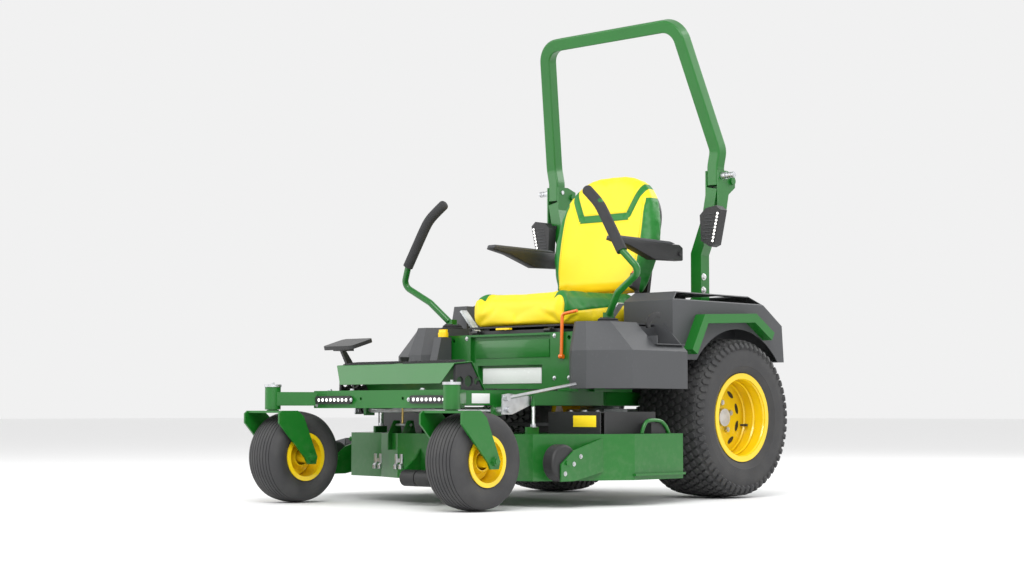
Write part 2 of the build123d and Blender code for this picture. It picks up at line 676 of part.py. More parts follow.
def side_cover():
    """Moulded cover: front pod around the lever, pocket, and fender over the tyre."""
    pocket_y = (POCKET_FRONT_Y, FENDER_FRONT_Y - COVER_WALL)
    pocket_x = (POCKET_X[0], POCKET_X[1] + 50)
    with BuildPart() as cover:
        pod_solid(0, POD_Z[0], Mode.ADD)
        fender_solid(0, Mode.ADD)
        long_edges = cover.edges().filter_by(Axis.Y)
        top_edges = long_edges.filter_by_position(Axis.Z, FENDER_TOP - 1, FENDER_TOP + 1)
        chamfer(top_edges.sort_by(Axis.X)[-1:], 34)
        pod_solid(COVER_WALL, POD_Z[0] - 1, Mode.SUBTRACT)
        fender_solid(COVER_WALL, Mode.SUBTRACT)
        rod_x(ARCH_R, (FENDER_X[0] - 50, 640), (0, WHEEL_Z), Mode.SUBTRACT)
        # pocket in the top of the pod, with its own floor and front wall
        block(pocket_x, pocket_y, (POCKET_FLOOR - COVER_WALL, POD_Z[2] + 60), Mode.SUBTRACT)
    return cover


def side_covers():
    """Left and right covers, each open at the lever's slot and round the guard's post."""
    pocket_y = (POCKET_FRONT_Y, FENDER_FRONT_Y)
    pocket_z = (POCKET_FLOOR - COVER_WALL, POCKET_FLOOR)
    slot_x = (LEVER_PIVOT[0] - 40, LEVER_PIVOT[0] + 52)
    slot_y = (LEVER_PIVOT[1] - 46, LEVER_PIVOT[1] + 46)
    base = side_cover()
    with BuildPart() as cover:
        add(base.part)
        block(POCKET_X, pocket_y, pocket_z)
        block((POCKET_X[0] - COVER_WALL, POCKET_X[0]), pocket_y, (pocket_z[0], POD_Z[2] - 10))
        wall_x = (POCKET_X[0] - COVER_WALL, POCKET_X[1])
        block(wall_x, (POCKET_FRONT_Y - COVER_WALL, POCKET_FRONT_Y), (pocket_z[0], 600))
        block(slot_x, slot_y, (POD_Z[2] - 20, POD_Z[2] + 1), Mode.SUBTRACT)
        guide_y = (GUIDE_Y[0] - 4, GUIDE_Y[1] + 4)
        block((COVER_INNER_X - 1, LEVER_TOWER_X[0]), guide_y, (POD_Z[2] - 20, POD_Z[2] + 1), Mode.SUBTRACT)
        block(ROPS_NOTCH[0], ROPS_NOTCH[1], (500, 800), Mode.SUBTRACT)
    save_pair(cover, "side_cover")


LIP_X = (FENDER_X[1] + SIDE_GAP, 576.0)
LIP_RUN = ((-338.0, 556.0), (-262.0, 688.0), (60.0, 702.0), (178.0, 632.0))
LIP_THICK = 34.0


def fender_lips():
    """Green edge strips that stand out beside the fenders, over the tyres."""
    with BuildPart() as lips:
        with BuildSketch(Plane.YZ.offset(LIP_X[0])):
            with BuildLine():
                Polyline(*LIP_RUN)
                offset(amount=LIP_THICK, side=Side.RIGHT)
            make_face()
        extrude(amount=LIP_X[1] - LIP_X[0])
        mirror(about=Plane.YZ)
    save(lips, "fender_lips")


def control_console():
    """Throttle console on the right-hand cover and the height console beside the seat box."""
    with BuildPart() as console:
        with BuildSketch(Plane.XY.offset(POD_Z[2])):
            with Locations((-440, -470)):
                Rectangle(90, 130)
        with BuildSketch(Plane.XY.offset(745)):
            with Locations((-455, -465)):
                Rectangle(70, 90)
        loft()
        with BuildSketch(Plane.XY.offset(FRAME_TOP)):
            with Locations((CONSOLE_X, DIAL_XY[1] - 28)):
                Rectangle(CONSOLE_W, 110)
        with BuildSketch(Plane.XY.offset(612)):
            with Locations((CONSOLE_X, DIAL_XY[1])):
                Rectangle(CONSOLE_W, 54)
        loft()
        rod_z(DIAL_STEM_R + RUNNING, DIAL_XY, (590, 620), Mode.SUBTRACT)
    save(console, "control_console")


def height_dial():
    """Cutting height dial: a stem in the console and a winged knob."""
    with BuildPart() as dial:
        rod_z(DIAL_STEM_R, DIAL_XY, (594, 618))
        rod_z(20, DIAL_XY, (612 + SIDE_GAP, 630))
        with Locations((DIAL_XY[0], DIAL_XY[1], 634)):
            Box(38, 10, 16)
    save(dial, "height_dial")


# ---------------------------------------------------------------- power train
def engine():
    """Upright-shaft twin: crankcase, two cylinders, fan shroud, and the silencer behind it."""
    plate_top = FRAME_TOP + DECK_PLATE
    with BuildPart() as motor:
        block((-130, 130), (20, 250), (plate_top, 540))
        for side in (1, -1):
            with Locations(Location((side * 150, 190, 500), (0, side * 70, 0))):
                Cylinder(52, 120)
        rod_z(148, (0, 135), (540, 640))
        rod_z(118, (0, 135), (640, 668))
        block((-150, 150), (180, 300), (560, 620))
        rod_x(48, (-150, 150), (322, 470))
        for x in (100, -100):
            block((x - 10, x + 10), (300, 344), (FRAME_TOP + DECK_PLATE, 440))
        rod_y(16, (322, 372), (120, 470))
    save(motor, "engine")


def fuel_tank():
    """Blow-moulded tank behind the seat box, between the rails and the engine."""
    with BuildPart() as tank:
        block((-215, 40), (-215, -75), (FRAME_TOP, 600))
        fillet(tank.edges().filter_by(Axis.Z), 24)
    save(tank, "fuel_tank")


def battery():
    """Starter battery beside the tank."""
    with BuildPart() as cell:
        block((60, 215), (-205, -80), (FRAME_TOP, 560))
        for x in (90, 185):
            rod_z(8, (x, -100), (560, 575))
    save(cell, "battery")


def transaxles():
    """One hydrostatic drive per rear wheel, hung under its rail."""
    with BuildPart() as drive:
        block((60, 190), (-95, 85), (225, 338))
        rod_x(32, (188, HORN_END_X), (0, WHEEL_Z))
        block((120, RAIL_REAR_X), (-40, 40), (330, FRAME_UNDER))
        rod_z(62, (125, -20), (338, 346))
        rod_x(AXLE_SHAFT_R + RUNNING, (145, HORN_END_X + 1), (0, WHEEL_Z), Mode.SUBTRACT)
        mirror(about=Plane.YZ)
    save(drive, "transaxles")


# ---------------------------------------------------------------- roll-over guard
CHEEK = 6.0
CHEEK_IN = ROPS_TUBE / 2 + SIDE_GAP
BASE_TOP = 1198.0
BASE_RUN = (
    (190.0, FRAME_TOP),
    (190.0, 640.0),
    (310.0, 770.0),
    (310.0, 945.0),
    (367.0, 1085.0),
    (390.0, BASE_TOP),
)
BASE_DEEP = 52.0


def rops_bases():
    """Lower posts with the cheeks and the pivot bolt of the folding guard."""
    cheek = (
        (ROPS_Y - BASE_DEEP / 2, 1110),
        (ROPS_Y - BASE_DEEP / 2, 1262),
        (56, 1262),
        (104, 1246),
        (104, 1200),
        (62, 1170),
        (ROPS_Y + BASE_DEEP / 2, 1110),
    )
    inner = ROPS_FOOT_X - CHEEK_IN
    outer = ROPS_FOOT_X + CHEEK_IN
    with BuildPart() as bases:
        with BuildSketch(Plane.XZ.offset(-ROPS_Y)):
            with BuildLine():
                Polyline(*BASE_RUN)
                offset(amount=ROPS_TUBE, side=Side.RIGHT)
            make_face()
        extrude(amount=BASE_DEEP / 2, both=True)
        side_plate(cheek, (inner - CHEEK, inner))
        side_plate(cheek, (outer, outer + CHEEK))
        rod_x(ROPS_PIN_R + RUNNING, (inner - CHEEK - 1, outer + CHEEK + 1), ROPS_PIN_YZ, Mode.SUBTRACT)
        rod_x(ROPS_PIN_R, (inner - CHEEK - 6, outer + CHEEK + 6), ROPS_PIVOT_YZ)
        for x, way in ((inner - CHEEK, -1), (outer + CHEEK, 1)):
            rod_x(14, (x, x + 8 * way), ROPS_PIVOT_YZ)
        mirror(about=Plane.YZ)
    save(bases, "rops_bases")


def rops_lock_pins():
    """Spring pins that lock the guard upright, each with a ribbed pull."""
    inner = ROPS_FOOT_X - CHEEK_IN - CHEEK
    outer = ROPS_FOOT_X + CHEEK_IN + CHEEK
    with BuildPart() as pin:
        rod_x(ROPS_PIN_R, (inner - 4, outer + 60), ROPS_PIN_YZ)
        rod_x(14, (outer + 1, outer + 22), ROPS_PIN_YZ)
        for step in range(4):
            rod_x(12, (outer + 26 + step * 9, outer + 32 + step * 9), ROPS_PIN_YZ)
    save_pair(pin, "rops_lock_pin")


def rops_hoop():
    """Square tube hoop that leans forward and folds back about its lugs."""
    low = BASE_TOP + 7
    knee = (428.0, ROPS_Y, 1340.0)
    corner = (340.0, ROPS_TOP_Y, ROPS_TOP_Z)
    lug = (
        (ROPS_Y - 22, low),
        (ROPS_Y - 22, 1262),
        (56, 1262),
        (ROPS_PIVOT_YZ[0] + 6, ROPS_PIVOT_YZ[1] + 18),
        (ROPS_PIVOT_YZ[0] + 18, ROPS_PIVOT_YZ[1]),
        (ROPS_PIVOT_YZ[0] + 6, ROPS_PIVOT_YZ[1] - 18),
        (56, low),
    )
    slot = (ROPS_PIN_YZ[0] - ROPS_PIN_R - 3, ROPS_PIN_YZ[0] + ROPS_PIN_R + 5)
    half = ROPS_TUBE / 2
    with BuildPart() as hoop:
        for size, mode in ((ROPS_TUBE, Mode.ADD), (ROPS_TUBE - 2 * ROPS_WALL, Mode.SUBTRACT)):
            with BuildLine() as run:
                FilletPolyline(
                    (ROPS_FOOT_X, ROPS_Y, low),
                    (ROPS_FOOT_X, ROPS_Y, ROPS_KNEE_Z + 8),
                    knee,
                    corner,
                    (-corner[0], corner[1], corner[2]),
                    (-knee[0], knee[1], knee[2]),
                    (-ROPS_FOOT_X, ROPS_Y, ROPS_KNEE_Z + 8),
                    (-ROPS_FOOT_X, ROPS_Y, low),
                    radius=80,
                )
            with BuildSketch(Plane(origin=(ROPS_FOOT_X, ROPS_Y, low), x_dir=(1, 0, 0), z_dir=(0, 0, 1))):
                RectangleRounded(size, size, 6 if mode == Mode.ADD else 3)
            sweep(path=run.line, transition=Transition.ROUND, mode=mode)
        for x in (ROPS_FOOT_X, -ROPS_FOOT_X):
            side_plate(lug, (x - half, x + half))
            rod_x(ROPS_PIN_R + RUNNING, (x - half - 1, x + half + 1), ROPS_PIVOT_YZ, Mode.SUBTRACT)
            block((x - half - 1, x + half + 1), slot, (low - 1, ROPS_PIN_YZ[1]), Mode.SUBTRACT)
            rod_x(ROPS_PIN_R + 1, (x - half - 1, x + half + 1), ROPS_PIN_YZ, Mode.SUBTRACT)
    save(hoop, "rops_hoop")


WORK_LAMP = ((398, 985), (392, 1085), (420, 1110), (470, 1118), (492, 1100), (462, 968), (440, 960))
WORK_LAMP_Y = (-52.0, -10.0)


def lamp_housings():
    """Two slim lamps on the crossbar and a work lamp outside each guard post."""
    middle = (LIGHT_BAR_X[0] + LIGHT_BAR_X[1]) / 2
    length = LIGHT_BAR_X[1] - LIGHT_BAR_X[0]
    with BuildPart() as lamps:
        with BuildSketch(Plane.XZ.offset(-CROSSBAR_FRONT_Y)):
            with Locations((middle, LIGHT_BAR_Z)):
                RectangleRounded(length, LIGHT_BAR_H, 10)
        extrude(amount=LIGHT_BAR_OUT)
        with BuildSketch(Plane.XZ.offset(-WORK_LAMP_Y[1])):
            with BuildLine():
                Polyline(*WORK_LAMP, close=True)
            make_face()
        extrude(amount=WORK_LAMP_Y[1] - WORK_LAMP_Y[0])
        block((392, 410), (WORK_LAMP_Y[1], ROPS_Y - BASE_DEEP / 2), (1085, 1100))
        mirror(about=Plane.YZ)
    save(lamps, "lamp_housings")


# ---------------------------------------------------------------- control levers
def lever_pivots():
    """Yoke that tilts fore and aft on the tower and carries the lever's cross pin."""
    x, y, z = LEVER_PIVOT
    start = LEVER_TOWER_X[1] + SIDE_GAP
    with BuildPart() as yoke:
        rod_x(11, (LEVER_TOWER_X[0] - 2, start + 4), (y, LEVER_TILT_Z))
        block((start, x + 20), (y - 22, y + 22), (LEVER_TILT_Z - 18, LEVER_TILT_Z + 16))
        for ear in (-22, 14):
            block((x - 14, x + 20), (y + ear, y + ear + 8), (LEVER_TILT_Z, z + 12))
        rod_y(6, (y - 25, y + 25), (x, z))
    save_pair(yoke, "lever_pivot")


LEVER_KNEES = ((482.0, -652.0, 755.0), (606.0, -676.0, 826.0), (550.0, -709.0, 897.0))
GRIP_KNEE = (440.0, -703.0, 1076.0)
GRIP_TIP = (371.0, -689.0, 1130.0)


def control_levers():
    """Bent steering tube with its foam grip."""
    x, y, z = LEVER_PIVOT
    grip_way = Vector(*GRIP_KNEE) - Vector(*LEVER_KNEES[2])
    start = Vector(*LEVER_KNEES[2]) + grip_way * 0.03
    first = (x + 16, y - 8, z + 24)
    with BuildPart() as lever:
        with BuildLine() as run:
            FilletPolyline(first, *LEVER_KNEES[:2], start, radius=30)
        with BuildSketch(Plane(origin=first, z_dir=run.line % 0)):
            Circle(LEVER_R)
        sweep(path=run.line)
        rod_y(14, (y - 13.5, y + 13.5), (x, z))
        block((x - 8, x + 20), (y - 13.5, y + 13.5), (z + 2, z + 30))
        rod_y(6 + RUNNING, (y - 20, y + 20), (x, z), Mode.SUBTRACT)
        with BuildLine() as hold:
            FilletPolyline(LEVER_KNEES[2], GRIP_KNEE, GRIP_TIP, radius=40)
        with BuildSketch(Plane(origin=LEVER_KNEES[2], z_dir=hold.line % 0)):
            Circle(LEVER_GRIP_R)
        sweep(path=hold.line)
    save_pair(lever, "control_lever")


def lever_guides():
    """Slanted guide plates beside the levers, standing on the seat box."""
    plate = ((322, SEAT_BOX_TOP), (332, SEAT_BOX_TOP), (334, 640), (408, 722), (400, 726), (324, 642))
    with BuildPart() as guides:
        with BuildSketch(Plane.XZ.offset(-GUIDE_Y[0])):
            with BuildLine():
                Polyline(*plate, close=True)
            make_face()
        extrude(amount=GUIDE_Y[0] - GUIDE_Y[1])
        mirror(about=Plane.YZ)
    save(guides, "lever_guides")


# ---------------------------------------------------------------- seat
def seat_platform():
    """Plate that tips forward on its hinge, with the two runners of the seat slide."""
    low = SEAT_BOX_TOP + SIDE_GAP
    with BuildPart() as platform:
        block((-235, 235), (-685, -240), (low, SEAT_PLATE_TOP))
        for x in (-180, 150):
            block((x, x + 30), (-660, -260), (SEAT_PLATE_TOP, SEAT_PLATE_TOP + SEAT_RUNNER_H))
        for x in (-200, 170):
            block((x, x + 30), (TILT_HINGE_YZ[0], -680), (low, SEAT_PLATE_TOP))
            rod_x(7, (x, x + 30), TILT_HINGE_YZ)
    save(platform, "seat_platform")


def seat_shell():
    """Pan under the cushion and the moulded shell behind the backrest."""
    low = SEAT_PLATE_TOP + SEAT_RUNNER_H + SIDE_GAP
    lean = math.radians(BACK_LEAN)
    rear_y = BACK_LOW[0] + (BACK_THICK + SOFT_GAP) / math.cos(lean)
    with BuildPart() as shell:
        block((-SEAT_HALF + 12, SEAT_HALF - 12), (SEAT_FRONT_Y + 15, SEAT_REAR_Y), (low, low + 6))
        for x in (-150 + SIDE_GAP, 180 + SIDE_GAP):
            block((x, x + 6), (-620, -280), (SEAT_PLATE_TOP + SIDE_GAP, low))
        away = (0, math.cos(lean), -math.sin(lean))
        back = Plane(origin=(0, rear_y, BACK_LOW[1]), x_dir=(-1, 0, 0), z_dir=away)
        with BuildSketch(back):
            with Locations((0, BACK_H / 2 - 25)):
                RectangleRounded(2 * BACK_HALF - 90, BACK_H - 70, 170)
        extrude(amount=BACK_SHELL)
        face_low = rear_y + BACK_SHELL / math.cos(lean)
        face_high = face_low + BRACKET_RISE * math.tan(lean)
        bracket = (
            (SEAT_REAR_Y - 4, low),
            (SEAT_REAR_Y + 12, low),
            (face_low + 18, BACK_LOW[1]),
            (face_high + 14, BACK_LOW[1] + BRACKET_RISE),
            (face_high - 0.5, BACK_LOW[1] + BRACKET_RISE),
            (face_low - 0.5, BACK_LOW[1]),
        )
        for x in (-200, 140):
            block((x, x + 60), (SEAT_REAR_Y - 10, SEAT_REAR_Y + 12), (low, low + 14))
            side_plate(bracket, (x, x + 60))
        rod_x(12, (-BACK_HALF - 13, BACK_HALF + 13), ARM_PIVOT_YZ)
        rod_x(ARM_PIN_R, (-BACK_HALF - 64, BACK_HALF + 64), ARM_PIVOT_YZ)
    save(shell, "seat_shell")


def seat_cushion():
    """Seat cushion, crowned in the middle and rounded over the front edge."""
    low = SEAT_PLATE_TOP + SEAT_RUNNER_H + SIDE_GAP + 6 + SOFT_GAP
    with BuildPart() as cushion:
        block((-SEAT_HALF, SEAT_HALF), (SEAT_FRONT_Y, SEAT_REAR_Y - 20), (low, low + CUSHION_H))
        fillet(cushion.edges().filter_by(Axis.Z), 55)
        fillet(cushion.faces().sort_by(Axis.Z)[-1].edges(), 32)
    save(cushion, "seat_cushion")


def seat_backrest():
    """Backrest with a rounded head, leaning back."""
    lean = math.radians(BACK_LEAN)
    front = Plane(
        origin=(0, BACK_LOW[0], BACK_LOW[1]), x_dir=(-1, 0, 0), z_dir=(0, math.cos(lean), -math.sin(lean))
    )
    with BuildPart() as back:
        with BuildSketch(front):
            with BuildLine():
                left = Line((-0.84 * BACK_HALF, 8), (-BACK_HALF, 0.40 * BACK_H))
                brow = (0.82 * BACK_HALF, 0.80 * BACK_H)
                crown = ThreePointArc((-brow[0], brow[1]), (0, BACK_H), brow)
                Line(left @ 1, crown @ 0)
                right = Line(crown @ 1, (BACK_HALF, 0.40 * BACK_H))
                low = Line(right @ 1, (0.84 * BACK_HALF, 8))
                Line(low @ 1, left @ 0)
            make_face()
        extrude(amount=BACK_THICK)
        fillet(back.faces().sort_by(Axis.Y)[0].edges(), 18)
    save(back, "seat_backrest")


ARM_PIVOT_YZ = (-98.0, 935.0)
ARM_PIN_R = 9.0


def armrests():
    """Flip-up armrests on pins in the sides of the seat shell."""
    outline = (
        (-492, 968),
        (-488, 986),
        (-96, 980),
        (-76, 962),
        (-76, 908),
        (-250, 905),
        (-400, 950),
    )
    with BuildPart() as rest:
        side_plate(outline, (BACK_HALF + 14, BACK_HALF + 60))
        rod_x(ARM_PIN_R + RUNNING, (BACK_HALF, BACK_HALF + 61), ARM_PIVOT_YZ, Mode.SUBTRACT)
    save_pair(rest, "armrest")


def seat_adjuster():
    """Latch bar of the seat slide, under the front of the cushion."""
    with BuildPart() as latch:
        rod_z(4, (-40, -688), (SEAT_PLATE_TOP + SIDE_GAP, SEAT_PLATE_TOP + 5))
        block((-75, -8), (-704, -686), (SEAT_PLATE_TOP + 2, SEAT_PLATE_TOP + 9))
    save(latch, "seat_adjuster")


BRAKE_X = 266.0


def brake_lever():
    """Bent rod of the parking brake in front of the seat box's left post."""
    foot = (BRAKE_X, SEAT_BOX_FRONT_Y - 8.3, 528)
    with BuildPart() as lever:
        with BuildLine() as run:
            FilletPolyline(foot, (BRAKE_X + 5, foot[1], 682), (BRAKE_X + 78, foot[1] - 2, 692), radius=16)
        with BuildSketch(Plane(origin=foot, z_dir=run.line % 0)):
            Circle(6)
        sweep(path=run.line)
        rod_x(8, (BRAKE_X - 9, BRAKE_X + 9), (foot[1], foot[2]))
    save(lever, "brake_lever")


# ---------------------------------------------------------------- mower deck
def deck_outline(inset):
    """Half plan outline of the deck skirt, left side, drawn in by inset."""
    return (
        (0, DECK_FRONT_Y + inset),
        (115, DECK_FRONT_Y + inset),
        (262, -1115 + inset),
        (462 - inset / 2, -1082 + inset),
        (DECK_HALF - inset, -752),
        (DECK_HALF - inset, DECK_REAR_Y - inset),
        (0, DECK_REAR_Y - inset),
    )


GAUGE_R = 63.0
GAUGE_W = 54.0
GAUGE_YZ = (-1046.0, 154.0)
GAUGE_PLATE_X = 580.0
GAUGE_PLATE = 6.0
ROLLER_YZ = (-1250.0, 96.0)
ROLLER_R = 29.0
ROLLER_X = (8.0, 150.0)
CHUTE_Y = (-935.0, -600.0)
CHUTE_HINGE = (-DECK_HALF - 12.0, 222.0)
CHUTE_RELIEF = 14.0            # clears the ears of the hinge at every angle
HOUSING_R = 46.0


def spindle_spots():
    """Name and plan position of each blade spindle."""
    left = (BLADE_X, BLADE_SIDE_Y)
    right = (-BLADE_X, BLADE_SIDE_Y)
    return (("left", left), ("centre", (0.0, BLADE_MID_Y)), ("right", right))


def mower_deck():
    """Deck shell with its spindle housings, hangers, gauge wheel plates and handles."""
    with BuildPart() as hollow:
        plan_plate(deck_outline(DECK_SHEET), (DECK_BOTTOM - 1, DECK_TOP - DECK_SHEET))
        mirror(about=Plane.YZ)
    with BuildPart() as deck:
        plan_plate(deck_outline(0), (DECK_BOTTOM, DECK_TOP))
        mirror(about=Plane.YZ)
        add(hollow.part, mode=Mode.SUBTRACT)
        # discharge opening in the right-hand skirt
        block((-DECK_HALF - 1, -DECK_HALF + 30), CHUTE_Y, (DECK_BOTTOM - 1, 212), Mode.SUBTRACT)
        # rolled lip along the left-hand skirt
        block((DECK_HALF - 1, DECK_HALF + 12), (-760, DECK_REAR_Y), (DECK_BOTTOM + 14, DECK_BOTTOM + 22))
        for _, spot in spindle_spots():
            rod_z(HOUSING_R, spot, (DECK_TOP - 60, DECK_TOP + 14))
            rod_z(BLADE_SHAFT_R + RUNNING, spot, (DECK_TOP - 61, DECK_TOP + 15), Mode.SUBTRACT)
        for side in (1, -1):
            # hanger lug for the lift link, and the gauge wheel plate
            hang_x = side * LINK_X
            block((hang_x - 5, hang_x + 5), (-1035, -975), (DECK_TOP - 2, DECK_TOP + 24))
            rod_z(6, (hang_x, LIFT_SHAFT_YZ[0] + LIFT_ARM), (DECK_TOP + 20, LINK_TOP))
            rod_z(8.5, (hang_x, LIFT_SHAFT_YZ[0] + LIFT_ARM), (352, 364))
            plate_x = side * GAUGE_PLATE_X
            ear = ((-1075, 92), (-1075, 150), (-1010, 196), (-858, 236), (-858, 120), (-1010, 92))
            side_plate(ear, (plate_x, plate_x + GAUGE_PLATE))
        # forks of the front roller, its axle and the gauge wheels' axles
        for x in (ROLLER_X[0] - 10, ROLLER_X[1] + 2):
            root = DECK_FRONT_Y + 2
            side_plate(((-1268, 84), (-1268, 110), (-1200, 160), (root, 200), (root, 110)), (x, x + 8))
        rod_x(8, (ROLLER_X[0] - 14, ROLLER_X[1] + 14), ROLLER_YZ)
        rod_x(8, (GAUGE_PLATE_X - GAUGE_W - 6, GAUGE_PLATE_X + 12), GAUGE_YZ)
        rod_x(8, (-GAUGE_PLATE_X - GAUGE_W - 6, -GAUGE_PLATE_X + 12), GAUGE_YZ)
        # hinge pin of the chute and its two ears
        for y in (CHUTE_Y[0] + 20, CHUTE_Y[1] - 32):
            ear_z = (CHUTE_HINGE[1] - 9, CHUTE_HINGE[1] + 9)
            block((CHUTE_HINGE[0] - 6, -DECK_HALF + 2), (y, y + 12), ear_z)
        rod_y(5, (CHUTE_Y[0] + 14, CHUTE_Y[1] - 14), CHUTE_HINGE)
    save(deck, "mower_deck")


COVER_TOP = 327.0


def belt_covers():
    """Moulded covers over the side spindles, open towards the middle for the belt."""
    wall = 3.0
    start = 324
    box = ((start, -850), (565, -850), (578, -835), (578, -560), (start, -560))
    with BuildPart() as covers:
        plan_plate(box, (DECK_TOP, COVER_TOP))
        plan_plate(((560, -640), (624, -640), (624, -560), (560, -560)), (DECK_TOP, 288))
        block((start - 1, 575), (-847, -563), (DECK_TOP - 1, COVER_TOP - wall), Mode.SUBTRACT)
        mirror(about=Plane.YZ)
    save(covers, "belt_covers")


def blade_spindles():
    """Each spindle: shaft, pulley and blade."""
    for name, spot in spindle_spots():
        with BuildPart() as spindle:
            rod_z(BLADE_SHAFT_R, spot, (BLADE_Z - 6, PULLEY_Z + PULLEY_H + 8))
            rod_z(PULLEY_R, spot, (PULLEY_Z - 3, PULLEY_Z))
            rod_z(PULLEY_R - 8, spot, (PULLEY_Z, PULLEY_Z + PULLEY_H - 3))
            rod_z(PULLEY_R, spot, (PULLEY_Z + PULLEY_H - 3, PULLEY_Z + PULLEY_H))
            with BuildSketch(Plane.XY.offset(BLADE_Z)):
                with Locations(spot):
                    Rectangle(60, 2 * BLADE_R - 12)
            extrude(amount=BLADE_THICK)
        save(spindle, f"blade_spindle_{name}")


def deck_belt():
    """V-belt loop round the three spindle pulleys."""
    seat = PULLEY_R - 8 + SOFT_GAP
    with BuildPart() as belt:
        for radius, mode in ((seat + 7, Mode.ADD), (seat, Mode.SUBTRACT)):
            with BuildSketch(Plane.XY.offset(PULLEY_Z + 1)):
                with BuildLine():
                    for _, spot in spindle_spots():
                        CenterArc(spot, radius, 0, 360)
                make_hull()
            extrude(amount=PULLEY_H - 5, mode=mode)
    save(belt, "deck_belt")


def discharge_chute():
    """Deflector that hangs from the hinge pin over the discharge opening."""
    x, z = CHUTE_HINGE
    cheek = (
        (x - 12, z),
        (x - 120, z - 20),
        (x - 205, z - 106),
        (x - 120, z - 106),
        (x - 20, z - 60),
    )
    with BuildPart() as chute:
        with BuildSketch(Plane.XZ.offset(-CHUTE_Y[1] + 2)):
            with BuildLine():
                Polyline((x - 7, z + 4), (x - 120, z - 18), (x - 205, z - 104))
                offset(amount=4, side=Side.LEFT)
            make_face()
        extrude(amount=CHUTE_Y[1] - CHUTE_Y[0] - 4)
        for y in (CHUTE_Y[0] + 2, CHUTE_Y[1] - 6):
            with BuildSketch(Plane.XZ.offset(-y)):
                with BuildLine():
                    Polyline(*cheek, close=True)
                make_face()
            extrude(amount=-4)
        rod_y(11, (CHUTE_Y[0] + 34, CHUTE_Y[1] - 34), CHUTE_HINGE)
        rod_y(5 + RUNNING, (CHUTE_Y[0] + 30, CHUTE_Y[1] - 30), CHUTE_HINGE, Mode.SUBTRACT)
        # relief round the deck's ears, so that the deflector can flip up
        for y in (CHUTE_Y[0] + 20, CHUTE_Y[1] - 32):
            rod_y(CHUTE_RELIEF, (y - 2, y + 14), CHUTE_HINGE, Mode.SUBTRACT)
    save(chute, "discharge_chute")


def gauge_wheels():
    """Anti-scalp wheels at the front corners of the deck."""
    for name, side in SIDES:
        inner = side * GAUGE_PLATE_X - SIDE_GAP
        with BuildPart() as wheel:
            rod_x(GAUGE_R, (inner - GAUGE_W, inner), GAUGE_YZ)
            fillet(wheel.edges().filter_by(GeomType.CIRCLE), 12)
            rod_x(8 + RUNNING, (inner - GAUGE_W - 1, inner + 1), GAUGE_YZ, Mode.SUBTRACT)
        save(wheel, f"gauge_wheel_{name}")


def front_roller():
    """Roller pair under the front of the deck."""
    low, high = ROLLER_X
    middle = (low + high) / 2
    with BuildPart() as roller:
        rod_x(ROLLER_R, (low + SIDE_GAP, high - SIDE_GAP), ROLLER_YZ)
        rod_x(ROLLER_R + 1, (middle - 2, middle + 2), ROLLER_YZ, Mode.SUBTRACT)
        rod_x(ROLLER_R - 8, (middle - 3, middle + 3), ROLLER_YZ)
        rod_x(8 + RUNNING, (low, high), ROLLER_YZ, Mode.SUBTRACT)
    save(roller, "front_roller")


# ---------------------------------------------------------------- deck lift
def lift_cranks():
    """Cross shaft under the rails with a crank plate at each end."""
    y, z = LIFT_SHAFT_YZ
    plate = (
        (y - 26, z - 16),
        (y - 22, z + 52),
        (y + 6, z + 56),
        (y + LIFT_ARM + 12, z + 46),
        (y + LIFT_ARM + 12, z + 22),
        (y + 24, z - 16),
    )
    with BuildPart() as cranks:
        side_plate(plate, (LIFT_CRANK_X, LIFT_CRANK_X + 6))
        mirror(about=Plane.YZ)
        rod_x(LIFT_SHAFT_R, (-LIFT_CRANK_X - 18, LIFT_CRANK_X + 18), LIFT_SHAFT_YZ)
    save(cranks, "lift_cranks")


def lift_rods():
    """Rods that take the lift from the front cranks to the rear of the deck."""
    start = (LIFT_CRANK_X + 14, -1128.0, 375.0)
    end = (LIFT_CRANK_X + 54, -820.0, 425.0)
    with BuildPart() as rods:
        with BuildLine() as run:
            Line(start, end)
        with BuildSketch(Plane(origin=start, z_dir=run.line % 0)):
            Circle(6)
        sweep(path=run.line)
        rod_x(11, (start[0] - 7.7, start[0] + 8), (start[1], start[2]))
        mirror(about=Plane.YZ)
    save(rods, "lift_rods")


PEDAL_X = -352.0


def lift_pedal():
    """Foot pedal of the deck lift, on the right end of the cross shaft."""
    y, z = LIFT_SHAFT_YZ
    arm = (
        (y - 16, z - 14),
        (y + 16, z - 14),
        (y - 62, 508),
        (y - 108, 566),
        (y - 122, 560),
        (y - 88, 500),
    )
    with BuildPart() as pedal:
        side_plate(arm, (PEDAL_X - 6, PEDAL_X + 6))
        rod_x(LIFT_SHAFT_R, (PEDAL_X - 6, PEDAL_X + 6), LIFT_SHAFT_YZ, Mode.SUBTRACT)
        pad_plane = Plane(origin=(-278, y - 150, 578)).rotated((16, 0, 0))
        with BuildSketch(pad_plane):
            RectangleRounded(160, 112, 18)
        extrude(amount=-14)
        block((PEDAL_X - 6, -290), (y - 148, y - 108), (548, 575))
    save(pedal, "lift_pedal")


